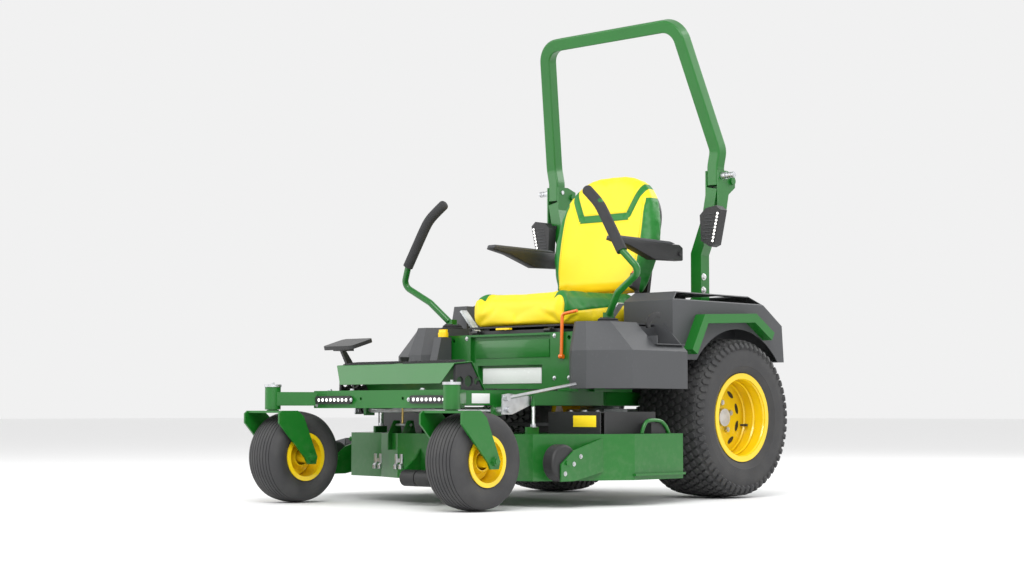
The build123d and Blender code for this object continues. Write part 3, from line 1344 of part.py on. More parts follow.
def build():
    """Make every sub-part and write its file."""
    os.makedirs("parts", exist_ok=True)
    rear_wheels()
    front_wheels()
    caster_forks()
    caster_bearings()
    main_frame()
    front_crossbar()
    rear_bumper()
    floor_pan()
    floor_pads()
    floor_knob()
    seat_box()
    side_covers()
    fender_lips()
    control_console()
    height_dial()
    engine()
    fuel_tank()
    battery()
    transaxles()
    rops_bases()
    rops_lock_pins()
    rops_hoop()
    lamp_housings()
    lever_pivots()
    control_levers()
    lever_guides()
    seat_platform()
    seat_shell()
    seat_cushion()
    seat_backrest()
    armrests()
    seat_adjuster()
    brake_lever()
    mower_deck()
    belt_covers()
    blade_spindles()
    deck_belt()
    discharge_chute()
    gauge_wheels()
    front_roller()
    lift_cranks()
    lift_rods()
    lift_pedal()


build()
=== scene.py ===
"""Zero turn mower: finishes, tyres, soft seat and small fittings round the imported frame.

Everything is in metres in the frame's own axes: -Y is the front of the mower,
+X the operator's left-hand side, +Z up, and the ground lies at Z = 0.
"""
from __future__ import annotations

import json
import logging
import math
from dataclasses import dataclass, field
from enum import Enum
from typing import Any, Callable, Iterable, Sequence, Union

import bmesh
import bpy
from mathutils import Matrix, Vector
from mathutils.bvhtree import BVHTree

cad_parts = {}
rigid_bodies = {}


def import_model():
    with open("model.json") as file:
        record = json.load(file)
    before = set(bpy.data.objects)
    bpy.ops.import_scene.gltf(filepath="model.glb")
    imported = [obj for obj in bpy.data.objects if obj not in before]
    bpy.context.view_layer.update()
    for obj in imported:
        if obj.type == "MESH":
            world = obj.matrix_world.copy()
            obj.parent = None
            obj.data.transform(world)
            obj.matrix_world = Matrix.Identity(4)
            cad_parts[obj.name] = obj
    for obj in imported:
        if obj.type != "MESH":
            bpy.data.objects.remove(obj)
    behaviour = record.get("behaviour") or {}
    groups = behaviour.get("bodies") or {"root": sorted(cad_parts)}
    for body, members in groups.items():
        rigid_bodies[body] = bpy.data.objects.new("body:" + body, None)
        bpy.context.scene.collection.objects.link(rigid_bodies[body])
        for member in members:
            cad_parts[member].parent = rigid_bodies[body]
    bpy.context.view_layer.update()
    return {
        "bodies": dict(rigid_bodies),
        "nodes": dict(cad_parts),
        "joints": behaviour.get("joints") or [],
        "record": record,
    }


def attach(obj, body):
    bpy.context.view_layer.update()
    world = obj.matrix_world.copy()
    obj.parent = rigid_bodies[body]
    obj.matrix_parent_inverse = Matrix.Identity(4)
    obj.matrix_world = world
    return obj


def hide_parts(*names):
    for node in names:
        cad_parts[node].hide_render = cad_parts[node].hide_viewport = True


LOG = logging.getLogger("mower")
Point = Sequence[float]
Colour = tuple[float, float, float]
SIDES: tuple[tuple[str, int], ...] = (("left", 1), ("right", -1))


class Slot(str, Enum):
    """Material slots of the record, named beside each new piece."""

    GREEN = "green_paint"
    YELLOW = "yellow_paint"
    BLACK = "black_paint"
    TYRE = "tyre"
    PLASTIC = "black_plastic"
    RUBBER = "black_rubber"
    ZINC = "zinc"
    CAST = "cast_aluminium"
    VINYL = "seat_vinyl"
    GUIDE = "guide_silver"


# ------------------------------------------------------------------ shader arithmetic
class Wire:
    """A shader socket that takes part in Python arithmetic by adding Math nodes."""

    def __init__(self, paint: "Paint", socket: bpy.types.NodeSocket) -> None:
        """Keep the socket and the material it belongs to."""
        self.paint = paint
        self.socket = socket

    def _math(self, operation: str, first: Any, second: Any = None) -> "Wire":
        """Add one Math node.

        Args:
            operation: the Math node's operation.
            first: value or wire of its first socket.
            second: value or wire of its second socket, if it has one.

        Returns:
            The node's result.
        """
        inputs = {0: first} if second is None else {0: first, 1: second}
        return self.paint.node("ShaderNodeMath", {"operation": operation}, inputs)

    def __add__(self, other: Any) -> "Wire":
        """Sum."""
        return self._math("ADD", self, other)

    __radd__ = __add__

    def __sub__(self, other: Any) -> "Wire":
        """Difference."""
        return self._math("SUBTRACT", self, other)

    def __rsub__(self, other: Any) -> "Wire":
        """Reflected difference."""
        return self._math("SUBTRACT", other, self)

    def __mul__(self, other: Any) -> "Wire":
        """Product."""
        return self._math("MULTIPLY", self, other)

    __rmul__ = __mul__

    def __truediv__(self, other: Any) -> "Wire":
        """Quotient."""
        return self._math("DIVIDE", self, other)

    def __rtruediv__(self, other: Any) -> "Wire":
        """Reflected quotient."""
        return self._math("DIVIDE", other, self)

    def __abs__(self) -> "Wire":
        """Magnitude."""
        return self._math("ABSOLUTE", self)

    def sine(self) -> "Wire":
        """Sine of the wire's value."""
        return self._math("SINE", self)

    def root(self) -> "Wire":
        """Square root."""
        return self._math("SQRT", self)

    def least(self, other: Any) -> "Wire":
        """The smaller of two values."""
        return self._math("MINIMUM", self, other)

    def most(self, other: Any) -> "Wire":
        """The larger of two values."""
        return self._math("MAXIMUM", self, other)

    def above(self, edge: Any, soft: float) -> "Wire":
        """A mask that rises from 0 to 1 over a width of soft round edge."""
        return self.paint.node(
            "ShaderNodeMapRange",
            {"interpolation_type": "SMOOTHSTEP", "clamp": True},
            {"Value": self - edge, "From Min": -soft / 2, "From Max": soft / 2},
        )

    def below(self, edge: Any, soft: float) -> "Wire":
        """A mask that falls from 1 to 0 over a width of soft round edge."""
        return 1 - self.above(edge, soft)


class Paint:
    """A procedural material while it is put together."""

    def __init__(self, name: str) -> None:
        """Start an empty node tree with a Principled shader."""
        self.material = bpy.data.materials.new(name)
        self.material.use_nodes = True
        self.tree = self.material.node_tree
        self.tree.nodes.clear()
        self.output = self.tree.nodes.new("ShaderNodeOutputMaterial")
        self.shader = self.tree.nodes.new("ShaderNodeBsdfPrincipled")
        self.tree.links.new(self.shader.outputs[0], self.output.inputs[0])
        self.place = self.node("ShaderNodeTexCoord", {}, {}, "Object")

    def _feed(self, socket: bpy.types.NodeSocket, value: Any) -> None:
        """Link a wire to a socket, or set the socket's own value."""
        if isinstance(value, Wire):
            self.tree.links.new(value.socket, socket)
            return
        if socket.type == "RGBA" and len(value) == 3:
            value = (*value, 1.0)
        socket.default_value = value

    def node(
        self, kind: str, settings: dict[str, Any], inputs: dict[Any, Any], output: Union[str, int] = 0
    ) -> Wire:
        """Add any shader node.

        Args:
            kind: the node's type.
            settings: its own settings, set before its sockets.
            inputs: values or wires of its sockets, by name or index.
            output: which of its outputs is wanted.

        Returns:
            That output as a wire.
        """
        made = self.tree.nodes.new(kind)
        for key, value in settings.items():
            setattr(made, key, value)
        for key, value in inputs.items():
            self._feed(made.inputs[key], value)
        return Wire(self, made.outputs[output])

    def axes(self) -> tuple[Wire, Wire, Wire]:
        """X, Y and Z of the object coordinates."""
        made = self.node("ShaderNodeSeparateXYZ", {}, {0: self.place})
        outputs = made.socket.node.outputs
        return Wire(self, outputs[0]), Wire(self, outputs[1]), Wire(self, outputs[2])

    def grain(self, scale: float, detail: float = 2.0, stretch: Point = (1, 1, 1)) -> Wire:
        """Noise on the object coordinates, from 0 to 1.

        Args:
            scale: cells in a metre.
            detail: octaves.
            stretch: factor of each axis.

        Returns:
            The noise value.
        """
        where = self.node("ShaderNodeMapping", {}, {"Vector": self.place, "Scale": tuple(stretch)})
        return self.node(
            "ShaderNodeTexNoise", {}, {"Vector": where, "Scale": scale, "Detail": detail}
        )

    def cells(self, scale: float, feature: str = "F1") -> Wire:
        """Distance to the nearest cell of a Voronoi pattern."""
        return self.node(
            "ShaderNodeTexVoronoi", {"feature": feature}, {"Vector": self.place, "Scale": scale}
        )

    def blend(self, mask: Any, first: Any, second: Any) -> Wire:
        """Colour that goes from first to second as mask goes from 0 to 1."""
        return self.node(
            "ShaderNodeMix",
            {"data_type": "RGBA"},
            {0: mask, 6: first, 7: second},
            2,
        )

    def bump(self, height: Wire, depth: float, strength: float = 1.0, under: Wire | None = None) -> Wire:
        """Normal of a height field.

        Args:
            height: height from 0 to 1.
            depth: depth in metres.
            strength: share of the effect.
            under: a normal to build on.

        Returns:
            The bumped normal.
        """
        inputs: dict[Any, Any] = {"Height": height, "Distance": depth, "Strength": strength}
        if under is not None:
            inputs["Normal"] = under
        return self.node("ShaderNodeBump", {}, inputs)

    def done(self, inputs: dict[str, Any]) -> bpy.types.Material:
        """Set the Principled shader's sockets and give the material."""
        for key, value in inputs.items():
            self._feed(self.shader.inputs[key], value)
        return self.material


# ------------------------------------------------------------------ finishes
@dataclass(frozen=True)
class Enamel:
    """Sprayed gloss paint with a slight orange peel and dust low down."""

    colour: Colour
    roughness: float = 0.38
    coat: float = 0.30
    dust: float = 0.07

    def make(self, name: str) -> bpy.types.Material:
        """Build the material."""
        paint = Paint(name)
        _, _, z = paint.axes()
        drift = paint.grain(3.0, 3.0)
        deep = tuple(c * 0.82 for c in self.colour)
        base = paint.blend(drift.above(0.5, 0.7), deep, self.colour)
        dusty = z.below(0.20, 0.34) * paint.grain(46.0, 5.0).above(0.56, 0.3) * self.dust
        base = paint.blend(dusty, base, (0.34, 0.33, 0.26))
        rough = self.roughness + paint.grain(17.0, 3.0) * 0.08 + dusty * 0.5
        peel = paint.bump(paint.grain(420.0, 1.0), 0.00035, 0.32)
        return paint.done(
            {
                "Base Color": base,
                "Roughness": rough,
                "Normal": peel,
                "Coat Weight": self.coat,
                "Coat Roughness": 0.07,
            }
        )


@dataclass(frozen=True)
class Moulded:
    """Textured injection moulding: fine leathery grain and faint scuffs."""

    colour: Colour
    roughness: float = 0.52
    grain: float = 900.0
    depth: float = 0.00022

    def make(self, name: str) -> bpy.types.Material:
        """Build the material."""
        paint = Paint(name)
        cloud = paint.grain(9.0, 4.0)
        scuff = paint.grain(60.0, 4.0, (1.0, 5.0, 1.0)).above(0.66, 0.1)
        pale = tuple(c * 1.5 + 0.012 for c in self.colour)
        base = paint.blend(cloud * 0.34 + scuff * 0.22, self.colour, pale)
        skin = paint.bump(paint.cells(self.grain), self.depth, 0.5)
        rough = self.roughness + cloud * 0.12 - scuff * 0.06
        return paint.done({"Base Color": base, "Roughness": rough, "Normal": skin})


@dataclass(frozen=True)
class TreadRubber:
    """Tyre rubber with moulded rings on the side walls."""

    axle: tuple[float, float]
    ring_from: float
    ring_to: float
    colour: Colour = (0.032, 0.032, 0.034)

    def make(self, name: str) -> bpy.types.Material:
        """Build the material; axle is the (Y, Z) of the wheel's axle."""
        paint = Paint(name)
        _, y, z = paint.axes()
        across, up = y - self.axle[0], z - self.axle[1]
        radius = (across * across + up * up).root()
        band = radius.above(self.ring_from, 0.004) * radius.below(self.ring_to, 0.004)
        rings = (radius * 1250.0).sine() * 0.5 + 0.5
        cloud = paint.grain(11.0, 4.0)
        base = paint.blend(cloud.above(0.55, 0.5) * 0.7, self.colour, (0.062, 0.061, 0.060))
        fine = paint.bump(paint.grain(700.0, 2.0), 0.0004, 0.35)
        marks = paint.bump(rings * band, 0.0009, 0.45, fine)
        return paint.done(
            {"Base Color": base, "Roughness": 0.62 + cloud * 0.16, "Normal": marks}
        )


@dataclass(frozen=True)
class SoftRubber:
    """Plain rubber or foam for pads, belts and grips."""

    colour: Colour = (0.022, 0.022, 0.024)
    roughness: float = 0.78
    pores: float = 520.0

    def make(self, name: str) -> bpy.types.Material:
        """Build the material."""
        paint = Paint(name)
        pores = paint.cells(self.pores)
        pale = tuple(c + 0.03 for c in self.colour)
        base = paint.blend(paint.grain(26.0, 4.0) * 0.5, self.colour, pale)
        return paint.done(
            {
                "Base Color": base,
                "Roughness": self.roughness - pores * 0.12,
                "Normal": paint.bump(pores, 0.0005, 0.5),
            }
        )


@dataclass(frozen=True)
class BareMetal:
    """Plated, brushed or cast metal."""

    colour: Colour
    roughness: float = 0.30
    stretch: tuple[float, float, float] = (1.0, 1.0, 9.0)
    lumps: float = 0.00025

    def make(self, name: str) -> bpy.types.Material:
        """Build the material."""
        paint = Paint(name)
        lines = paint.grain(240.0, 3.0, self.stretch)
        spots = paint.grain(30.0, 5.0)
        dull = tuple(c * 0.6 for c in self.colour)
        base = paint.blend(spots.above(0.55, 0.5) * 0.6, self.colour, dull)
        rough = self.roughness + lines * 0.16 + spots * 0.10
        return paint.done(
            {
                "Base Color": base,
                "Metallic": 1.0,
                "Roughness": rough,
                "Normal": paint.bump(lines, self.lumps, 0.35),
            }
        )


class Panel(Enum):
    """Which sewn piece a vinyl finish is laid out for."""

    PLAIN = "plain"
    CUSHION = "cushion"
    BACK = "back"


@dataclass(frozen=True)
class Vinyl:
    """Upholstery vinyl: leather grain, creases, and sewn-in green panels."""

    panel: Panel
    yellow: Colour = (0.96, 0.72, 0.008)
    green: Colour = (0.006, 0.175, 0.016)

    def _mask(self, paint: Paint) -> Wire | float:
        """Where the green panels lie, from 0 to 1."""
        x, y, z = paint.axes()
        wide = abs(x)
        soft = 0.003
        if self.panel is Panel.CUSHION:
            low_edge = 0.716 + (y + 0.45) * 0.11
            side = wide.above(0.176, soft) * z.above(low_edge, soft)
            return side * y.above(-0.655, soft)
        if self.panel is Panel.BACK:
            rise = (z - 0.775) / 0.978
            arm = abs(wide - (0.118 + (rise - 0.325) * 0.50)).below(0.0165, soft)
            arm = arm * rise.above(0.318, soft)
            foot = abs(rise - 0.325).below(0.0155, soft) * wide.below(0.125, soft)
            lean_in = 0.205 - (rise - 0.24) * (rise - 0.24) * 0.35
            bolster = wide.above(lean_in, soft) * wide.below(0.262, soft)
            bolster = bolster * rise.below(0.395, soft)
            return arm.most(foot).most(bolster)
        return 0.0

    def make(self, name: str) -> bpy.types.Material:
        """Build the material."""
        paint = Paint(name)
        shade = paint.grain(5.0, 3.0).above(0.5, 0.8)
        yellow = paint.blend(shade, tuple(c * 0.90 for c in self.yellow), self.yellow)
        base = paint.blend(self._mask(paint), yellow, self.green)
        skin = paint.bump(paint.cells(620.0, "DISTANCE_TO_EDGE"), 0.0005, 0.35)
        crease = paint.bump(paint.grain(26.0, 5.0, (1.0, 1.0, 0.5)), 0.0016, 0.25, skin)
        rough = 0.40 + paint.grain(90.0, 3.0) * 0.14
        return paint.done({"Base Color": base, "Roughness": rough, "Normal": crease})


@dataclass(frozen=True)
class Glow:
    """Small lamp lens: bright centre in a glossy cover."""

    colour: Colour = (1.0, 0.98, 0.92)
    strength: float = 1.2

    def make(self, name: str) -> bpy.types.Material:
        """Build the material."""
        paint = Paint(name)
        facet = paint.cells(260.0)
        return paint.done(
            {
                "Base Color": paint.blend(facet, self.colour, (0.75, 0.76, 0.78)),
                "Roughness": 0.12 + facet * 0.1,
                "Emission Color": self.colour,
                "Emission Strength": self.strength,
            }
        )


@dataclass(frozen=True)
class Ground:
    """Matt pale studio floor."""

    colour: Colour = (0.90, 0.90, 0.90)

    def make(self, name: str) -> bpy.types.Material:
        """Build the material."""
        paint = Paint(name)
        tone = paint.blend(paint.grain(2.0, 2.0) * 0.15, self.colour, (0.86, 0.86, 0.86))
        return paint.done({"Base Color": tone, "Roughness": 0.9})


class Finishes:
    """All finishes of the machine, made once and looked up by name."""

    GREEN = (0.003, 0.145, 0.009)

    def __init__(self) -> None:
        """Build every material."""
        recipes: dict[str, Any] = {
            "green": Enamel(self.GREEN),
            "yellow": Enamel((0.95, 0.66, 0.004), 0.28, 0.5, 0.05),
            "black": Enamel((0.012, 0.012, 0.013), 0.42, 0.2, 0.08),
            "orange": Enamel((0.86, 0.17, 0.004), 0.34, 0.4, 0.0),
            "dark_moulding": Moulded((0.052, 0.054, 0.058)),
            "black_moulding": Moulded((0.014, 0.014, 0.015), 0.46),
            "knob": Moulded((0.93, 0.62, 0.006), 0.34, 500.0, 0.0001),
            "label_yellow": Moulded((0.93, 0.66, 0.01), 0.42, 700.0, 0.00004),
            "label_pale": Moulded((0.70, 0.72, 0.70), 0.45, 700.0, 0.00004),
            "red": Moulded((0.62, 0.012, 0.018), 0.32, 500.0, 0.0001),
            "rear_tyre": TreadRubber((0.0, 0.305), 0.196, 0.236),
            "front_tyre": TreadRubber((-1.368, 0.165), 0.100, 0.122),
            "rubber": SoftRubber(),
            "foam": SoftRubber((0.020, 0.020, 0.022), 0.86, 380.0),
            "webbing": SoftRubber((0.018, 0.018, 0.020), 0.7, 900.0),
            "zinc": BareMetal((0.66, 0.67, 0.69)),
            "bright": BareMetal((0.82, 0.82, 0.82), 0.20),
            "cast": BareMetal((0.40, 0.41, 0.42), 0.48, (1.0, 1.0, 1.0), 0.0006),
            "guide": BareMetal((0.80, 0.82, 0.84), 0.34),
            "brass": BareMetal((0.72, 0.52, 0.18), 0.3),
            "cushion": Vinyl(Panel.CUSHION),
            "back": Vinyl(Panel.BACK),
            "piping": Vinyl(Panel.PLAIN, (0.60, 0.44, 0.01)),
            "lens": Glow(),
            "lens_dark": Moulded((0.02, 0.021, 0.024), 0.12, 900.0, 0.00002),
            "ground": Ground(),
        }
        self.made = {name: recipe.make(name) for name, recipe in recipes.items()}

    def __getitem__(self, name: str) -> bpy.types.Material:
        """The finish of that name."""
        return self.made[name]


# ------------------------------------------------------------------ mesh making
class Shop:
    """Mesh making for the fittings, with the finishes at hand."""

    def __init__(self, finishes: Finishes) -> None:
        """Keep the finishes and count the pieces."""
        self.finishes = finishes
        self.count = 0

    def mesh(self, name: str, verts: Iterable[Point], faces: Iterable[Sequence[int]]) -> bpy.types.Object:
        """A linked object from vertices and faces, closed meshes turned outwards."""
        data = bpy.data.meshes.new(name)
        data.from_pydata([tuple(v) for v in verts], [], [tuple(f) for f in faces])
        work = bmesh.new()
        work.from_mesh(data)
        bmesh.ops.remove_doubles(work, verts=work.verts, dist=1e-6)
        bmesh.ops.recalc_face_normals(work, faces=work.faces)
        work.to_mesh(data)
        work.free()
        item = bpy.data.objects.new(name, data)
        bpy.context.scene.collection.objects.link(item)
        return item

    def smooth(self, item: bpy.types.Object, angle: float = 35.0) -> None:
        """Shade smooth below an edge angle, in degrees."""
        item.data.polygons.foreach_set("use_smooth", [True] * len(item.data.polygons))
        work = bmesh.new()
        work.from_mesh(item.data)
        limit = math.radians(angle)
        for edge in work.edges:
            edge.smooth = len(edge.link_faces) == 2 and edge.calc_face_angle(0) < limit
        work.to_mesh(item.data)
        work.free()

    def bake(self, item: bpy.types.Object) -> None:
        """Turn an object's modifiers into its plain mesh."""
        graph = bpy.context.evaluated_depsgraph_get()
        graph.update()
        data = bpy.data.meshes.new_from_object(item.evaluated_get(graph))
        item.modifiers.clear()
        item.data = data

    def round_edges(self, item: bpy.types.Object, width: float, segments: int = 2) -> None:
        """Bevel every sharp edge and apply it."""
        bevel = item.modifiers.new("bevel", "BEVEL")
        bevel.width = width
        bevel.segments = segments
        bevel.limit_method = "ANGLE"
        bevel.angle_limit = math.radians(28)
        self.bake(item)
        self.smooth(item)

    def prism(
        self, name: str, outline: Sequence[Point], span: tuple[float, float], axis: str, bevel: float = 0.002
    ) -> bpy.types.Object:
        """An outline pushed along an axis.

        Args:
            name: the piece's name.
            outline: corners in the two other axes, in the order X, Y, Z.
            span: start and end along the axis.
            axis: "X", "Y" or "Z".
            bevel: edge radius, or 0.

        Returns:
            The object.
        """
        at = "XYZ".index(axis)
        count = len(outline)
        verts: list[list[float]] = []
        for level in span:
            for corner in outline:
                point = list(corner)
                point.insert(at, level)
                verts.append(point)
        faces: list[list[int]] = [list(range(count)), list(range(count, 2 * count))]
        faces += [[i, (i + 1) % count, count + (i + 1) % count, count + i] for i in range(count)]
        item = self.mesh(name, verts, faces)
        if bevel:
            self.round_edges(item, bevel)
        return item

    def slab(self, name: str, x: Point, y: Point, z: Point, bevel: float = 0.003) -> bpy.types.Object:
        """A bevelled block between pairs of coordinates."""
        outline = [(x[0], y[0]), (x[1], y[0]), (x[1], y[1]), (x[0], y[1])]
        return self.prism(name, outline, (z[0], z[1]), "Z", bevel)

    def lathe(
        self, name: str, profile: Sequence[Point], centre: Point, axis: str = "X", steps: int = 96
    ) -> bpy.types.Object:
        """A closed profile of (along, radius) turned about an axis through centre."""
        at = "XYZ".index(axis)
        count = len(profile)
        verts: list[list[float]] = []
        for step in range(steps):
            turn = 2 * math.pi * step / steps
            for along, radius in profile:
                point = [radius * math.cos(turn), radius * math.sin(turn)]
                point.insert(at, along)
                verts.append([p + c for p, c in zip(point, centre)])
        faces = []
        for step in range(steps):
            near, far = step * count, ((step + 1) % steps) * count
            for i in range(count):
                j = (i + 1) % count
                faces.append([near + i, near + j, far + j, far + i])
        item = self.mesh(name, verts, faces)
        self.smooth(item, 40.0)
        return item

    def turned(
        self, name: str, profile: Sequence[Point], centre: Point, axis: str = "X", steps: int = 32
    ) -> bpy.types.Object:
        """A solid turned piece: the profile is open and its ends lie on the axis."""
        closed = [(profile[0][0], 1e-5), *profile, (profile[-1][0], 1e-5)]
        return self.lathe(name, closed, centre, axis, steps)

    def tube(
        self, name: str, points: Sequence[Point], radius: float, bend: bool = True, sides: int = 8
    ) -> bpy.types.Object:
        """A round bar along points, smoothed where bend is set."""
        curve = bpy.data.curves.new(name, "CURVE")
        curve.dimensions = "3D"
        spline = curve.splines.new("NURBS" if bend else "POLY")
        spline.points.add(len(points) - 1)
        for knot, point in zip(spline.points, points):
            knot.co = (*point, 1.0)
        if bend:
            spline.order_u = 3
            spline.use_endpoint_u = True
            spline.resolution_u = 8
        curve.bevel_depth = radius
        curve.bevel_resolution = sides // 2
        curve.use_fill_caps = True
        holder = bpy.data.objects.new(name + "_line", curve)
        bpy.context.scene.collection.objects.link(holder)
        graph = bpy.context.evaluated_depsgraph_get()
        graph.update()
        data = bpy.data.meshes.new_from_object(holder.evaluated_get(graph))
        data.name = name
        bpy.data.objects.remove(holder)
        data.materials.clear()
        item = bpy.data.objects.new(name, data)
        bpy.context.scene.collection.objects.link(item)
        self.tidy_normals(item)
        self.smooth(item, 50.0)
        return item

    def tidy_normals(self, item: bpy.types.Object) -> None:
        """Merge doubles and turn the faces outwards."""
        work = bmesh.new()
        work.from_mesh(item.data)
        bmesh.ops.remove_doubles(work, verts=work.verts, dist=1e-6)
        bmesh.ops.recalc_face_normals(work, faces=work.faces)
        work.to_mesh(item.data)
        work.free()

    def join(self, name: str, parts: Sequence[bpy.types.Object]) -> bpy.types.Object:
        """Several meshes as one object."""
        work = bmesh.new()
        for part in parts:
            work.from_mesh(part.data)
            bpy.data.objects.remove(part)
        data = bpy.data.meshes.new(name)
        work.to_mesh(data)
        work.free()
        item = bpy.data.objects.new(name, data)
        bpy.context.scene.collection.objects.link(item)
        return item

    def dress(self, item: bpy.types.Object, finish: str, body: str, slot: Slot) -> bpy.types.Object:
        """Give a piece its finish and CAD body, and report it."""
        item.data.materials.clear()
        item.data.materials.append(self.finishes[finish])
        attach(item, body)
        self.count += 1
        LOG.info("%s: %d faces on %s", item.name, len(item.data.polygons), body)
        return item


# ------------------------------------------------------------------ geometry nodes
class Grower:
    """A Geometry Nodes tree written as Python calls."""

    def __init__(self, name: str, inputs: dict[str, str]) -> None:
        """Start a tree with a geometry input and output and named inputs.

        Args:
            name: the tree's name.
            inputs: socket type of each named input.
        """
        self.tree = bpy.data.node_groups.new(name, "GeometryNodeTree")
        face = self.tree.interface
        face.new_socket("Geometry", in_out="INPUT", socket_type="NodeSocketGeometry")
        self.keys: dict[str, str] = {}
        for label, kind in inputs.items():
            made = face.new_socket(label, in_out="INPUT", socket_type=kind)
            self.keys[label] = made.identifier
        face.new_socket("Geometry", in_out="OUTPUT", socket_type="NodeSocketGeometry")
        self.entry = self.tree.nodes.new("NodeGroupInput")
        self.exit = self.tree.nodes.new("NodeGroupOutput")

    def given(self, label: str) -> bpy.types.NodeSocket:
        """The named input's socket inside the tree."""
        return self.entry.outputs[label]

    def node(
        self, kind: str, settings: dict[str, Any], inputs: dict[Any, Any], output: Union[str, int] = 0
    ) -> bpy.types.NodeSocket:
        """Add a node, set it, feed its sockets and give one output."""
        made = self.tree.nodes.new(kind)
        for key, value in settings.items():
            setattr(made, key, value)
        for key, value in inputs.items():
            if isinstance(value, bpy.types.NodeSocket):
                self.tree.links.new(value, made.inputs[key])
            else:
                made.inputs[key].default_value = value
        return made.outputs[output]

    def maths(self, operation: str, first: Any, second: Any = 0.0) -> bpy.types.NodeSocket:
        """A Math node."""
        return self.node("ShaderNodeMath", {"operation": operation}, {0: first, 1: second})

    def close(self, geometry: bpy.types.NodeSocket) -> None:
        """End the tree in Realize Instances and Set Material."""
        solid = self.node("GeometryNodeRealizeInstances", {}, {0: geometry})
        coated = self.node("GeometryNodeSetMaterial", {}, {0: solid, "Material": self.given("Material")})
        self.tree.links.new(coated, self.exit.inputs[0])

    def run(self, shop: Shop, name: str, base: bpy.types.Object, values: dict[str, Any]) -> bpy.types.Object:
        """Grow the pattern from a base object into a plain mesh of its own.

        Args:
            shop: mesh helpers.
            name: the new piece's name.
            base: object whose mesh enters the tree; it is used up.
            values: value of each named input.

        Returns:
            The new object.
        """
        modifier = base.modifiers.new("grow", "NODES")
        modifier.node_group = self.tree
        for label, value in values.items():
            modifier[self.keys[label]] = value
        base.update_tag()
        graph = bpy.context.evaluated_depsgraph_get()
        graph.update()
        data = bpy.data.meshes.new_from_object(base.evaluated_get(graph))
        data.name = name
        base.modifiers.clear()
        bpy.data.objects.remove(base)
        item = bpy.data.objects.new(name, data)
        bpy.context.scene.collection.objects.link(item)
        shop.smooth(item, 30.0)
        return item


def ring_tree() -> Grower:
    """Tree that sets rows of one small shape round an X axis, on a crowned drum."""
    grower = Grower(
        "ring_of_shapes",
        {
            "Count": "NodeSocketInt",
            "Rows": "NodeSocketInt",
            "Radius": "NodeSocketFloat",
            "Width": "NodeSocketFloat",
            "Crown": "NodeSocketFloat",
            "Stagger": "NodeSocketFloat",
            "Centre": "NodeSocketVector",
            "Material": "NodeSocketMaterial",
        },
    )
    count, rows = grower.given("Count"), grower.given("Rows")
    total = grower.maths("MULTIPLY", count, rows)
    points = grower.node("GeometryNodePoints", {}, {"Count": total})
    index = grower.node("GeometryNodeInputIndex", {}, {})
    row = grower.maths("FLOOR", grower.maths("DIVIDE", index, count))
    place = grower.maths("MODULO", index, count)
    shift = grower.maths("MULTIPLY", grower.maths("MODULO", row, 2.0), grower.given("Stagger"))
    turn = grower.maths("MULTIPLY", grower.maths("ADD", place, shift), 2 * math.pi)
    turn = grower.maths("DIVIDE", turn, count)
    last = grower.maths("MAXIMUM", grower.maths("SUBTRACT", rows, 1.0), 1.0)
    middle_row = grower.maths("MULTIPLY", grower.maths("SUBTRACT", rows, 1.0), 0.5)
    centred = grower.maths("SUBTRACT", row, middle_row)
    across = grower.maths("MULTIPLY", grower.maths("DIVIDE", centred, last), grower.given("Width"))
    share = grower.maths("DIVIDE", grower.maths("MULTIPLY", across, 2.0), grower.given("Width"))
    drop = grower.maths("MULTIPLY", grower.maths("MULTIPLY", share, share), grower.given("Crown"))
    radius = grower.maths("SUBTRACT", grower.given("Radius"), drop)
    rise = grower.maths("MULTIPLY", share, grower.given("Crown"))
    slope = grower.maths("DIVIDE", rise, grower.given("Width"))
    tilt = grower.maths("ARCTANGENT", grower.maths("MULTIPLY", slope, 4.0))
    y = grower.maths("MULTIPLY", grower.maths("SINE", turn), grower.maths("MULTIPLY", radius, -1.0))
    z = grower.maths("MULTIPLY", grower.maths("COSINE", turn), radius)
    spot = grower.node("ShaderNodeCombineXYZ", {}, {0: across, 1: y, 2: z})
    spot = grower.node("ShaderNodeVectorMath", {"operation": "ADD"}, {0: spot, 1: grower.given("Centre")})
    moved = grower.node("GeometryNodeSetPosition", {}, {0: points, "Position": spot})
    around = grower.node("FunctionNodeAxisAngleToRotation", {}, {"Axis": (1, 0, 0), "Angle": turn})
    lean = grower.node("FunctionNodeAxisAngleToRotation", {}, {"Axis": (0, 1, 0), "Angle": tilt})
    facing = grower.node("FunctionNodeRotateRotation", {"rotation_space": "LOCAL"}, {0: around, 1: lean})
    spread = grower.node(
        "GeometryNodeInstanceOnPoints",
        {},
        {"Points": moved, "Instance": grower.given("Geometry"), "Rotation": facing},
    )
    grower.close(spread)
    return grower


def stud_tree() -> Grower:
    """Tree that puts one shape at every vertex of the base mesh, all turned alike."""
    grower = Grower(
        "shape_on_spots",
        {
            "Shape": "NodeSocketObject",
            "Turn": "NodeSocketVector",
            "Size": "NodeSocketFloat",
            "Material": "NodeSocketMaterial",
        },
    )
    shape = grower.node("GeometryNodeObjectInfo", {}, {"Object": grower.given("Shape")}, "Geometry")
    turn = grower.node("FunctionNodeEulerToRotation", {}, {0: grower.given("Turn")})
    spread = grower.node(
        "GeometryNodeInstanceOnPoints",
        {},
        {
            "Points": grower.given("Geometry"),
            "Instance": shape,
            "Rotation": turn,
            "Scale": grower.given("Size"),
        },
    )
    grower.close(spread)
    return grower


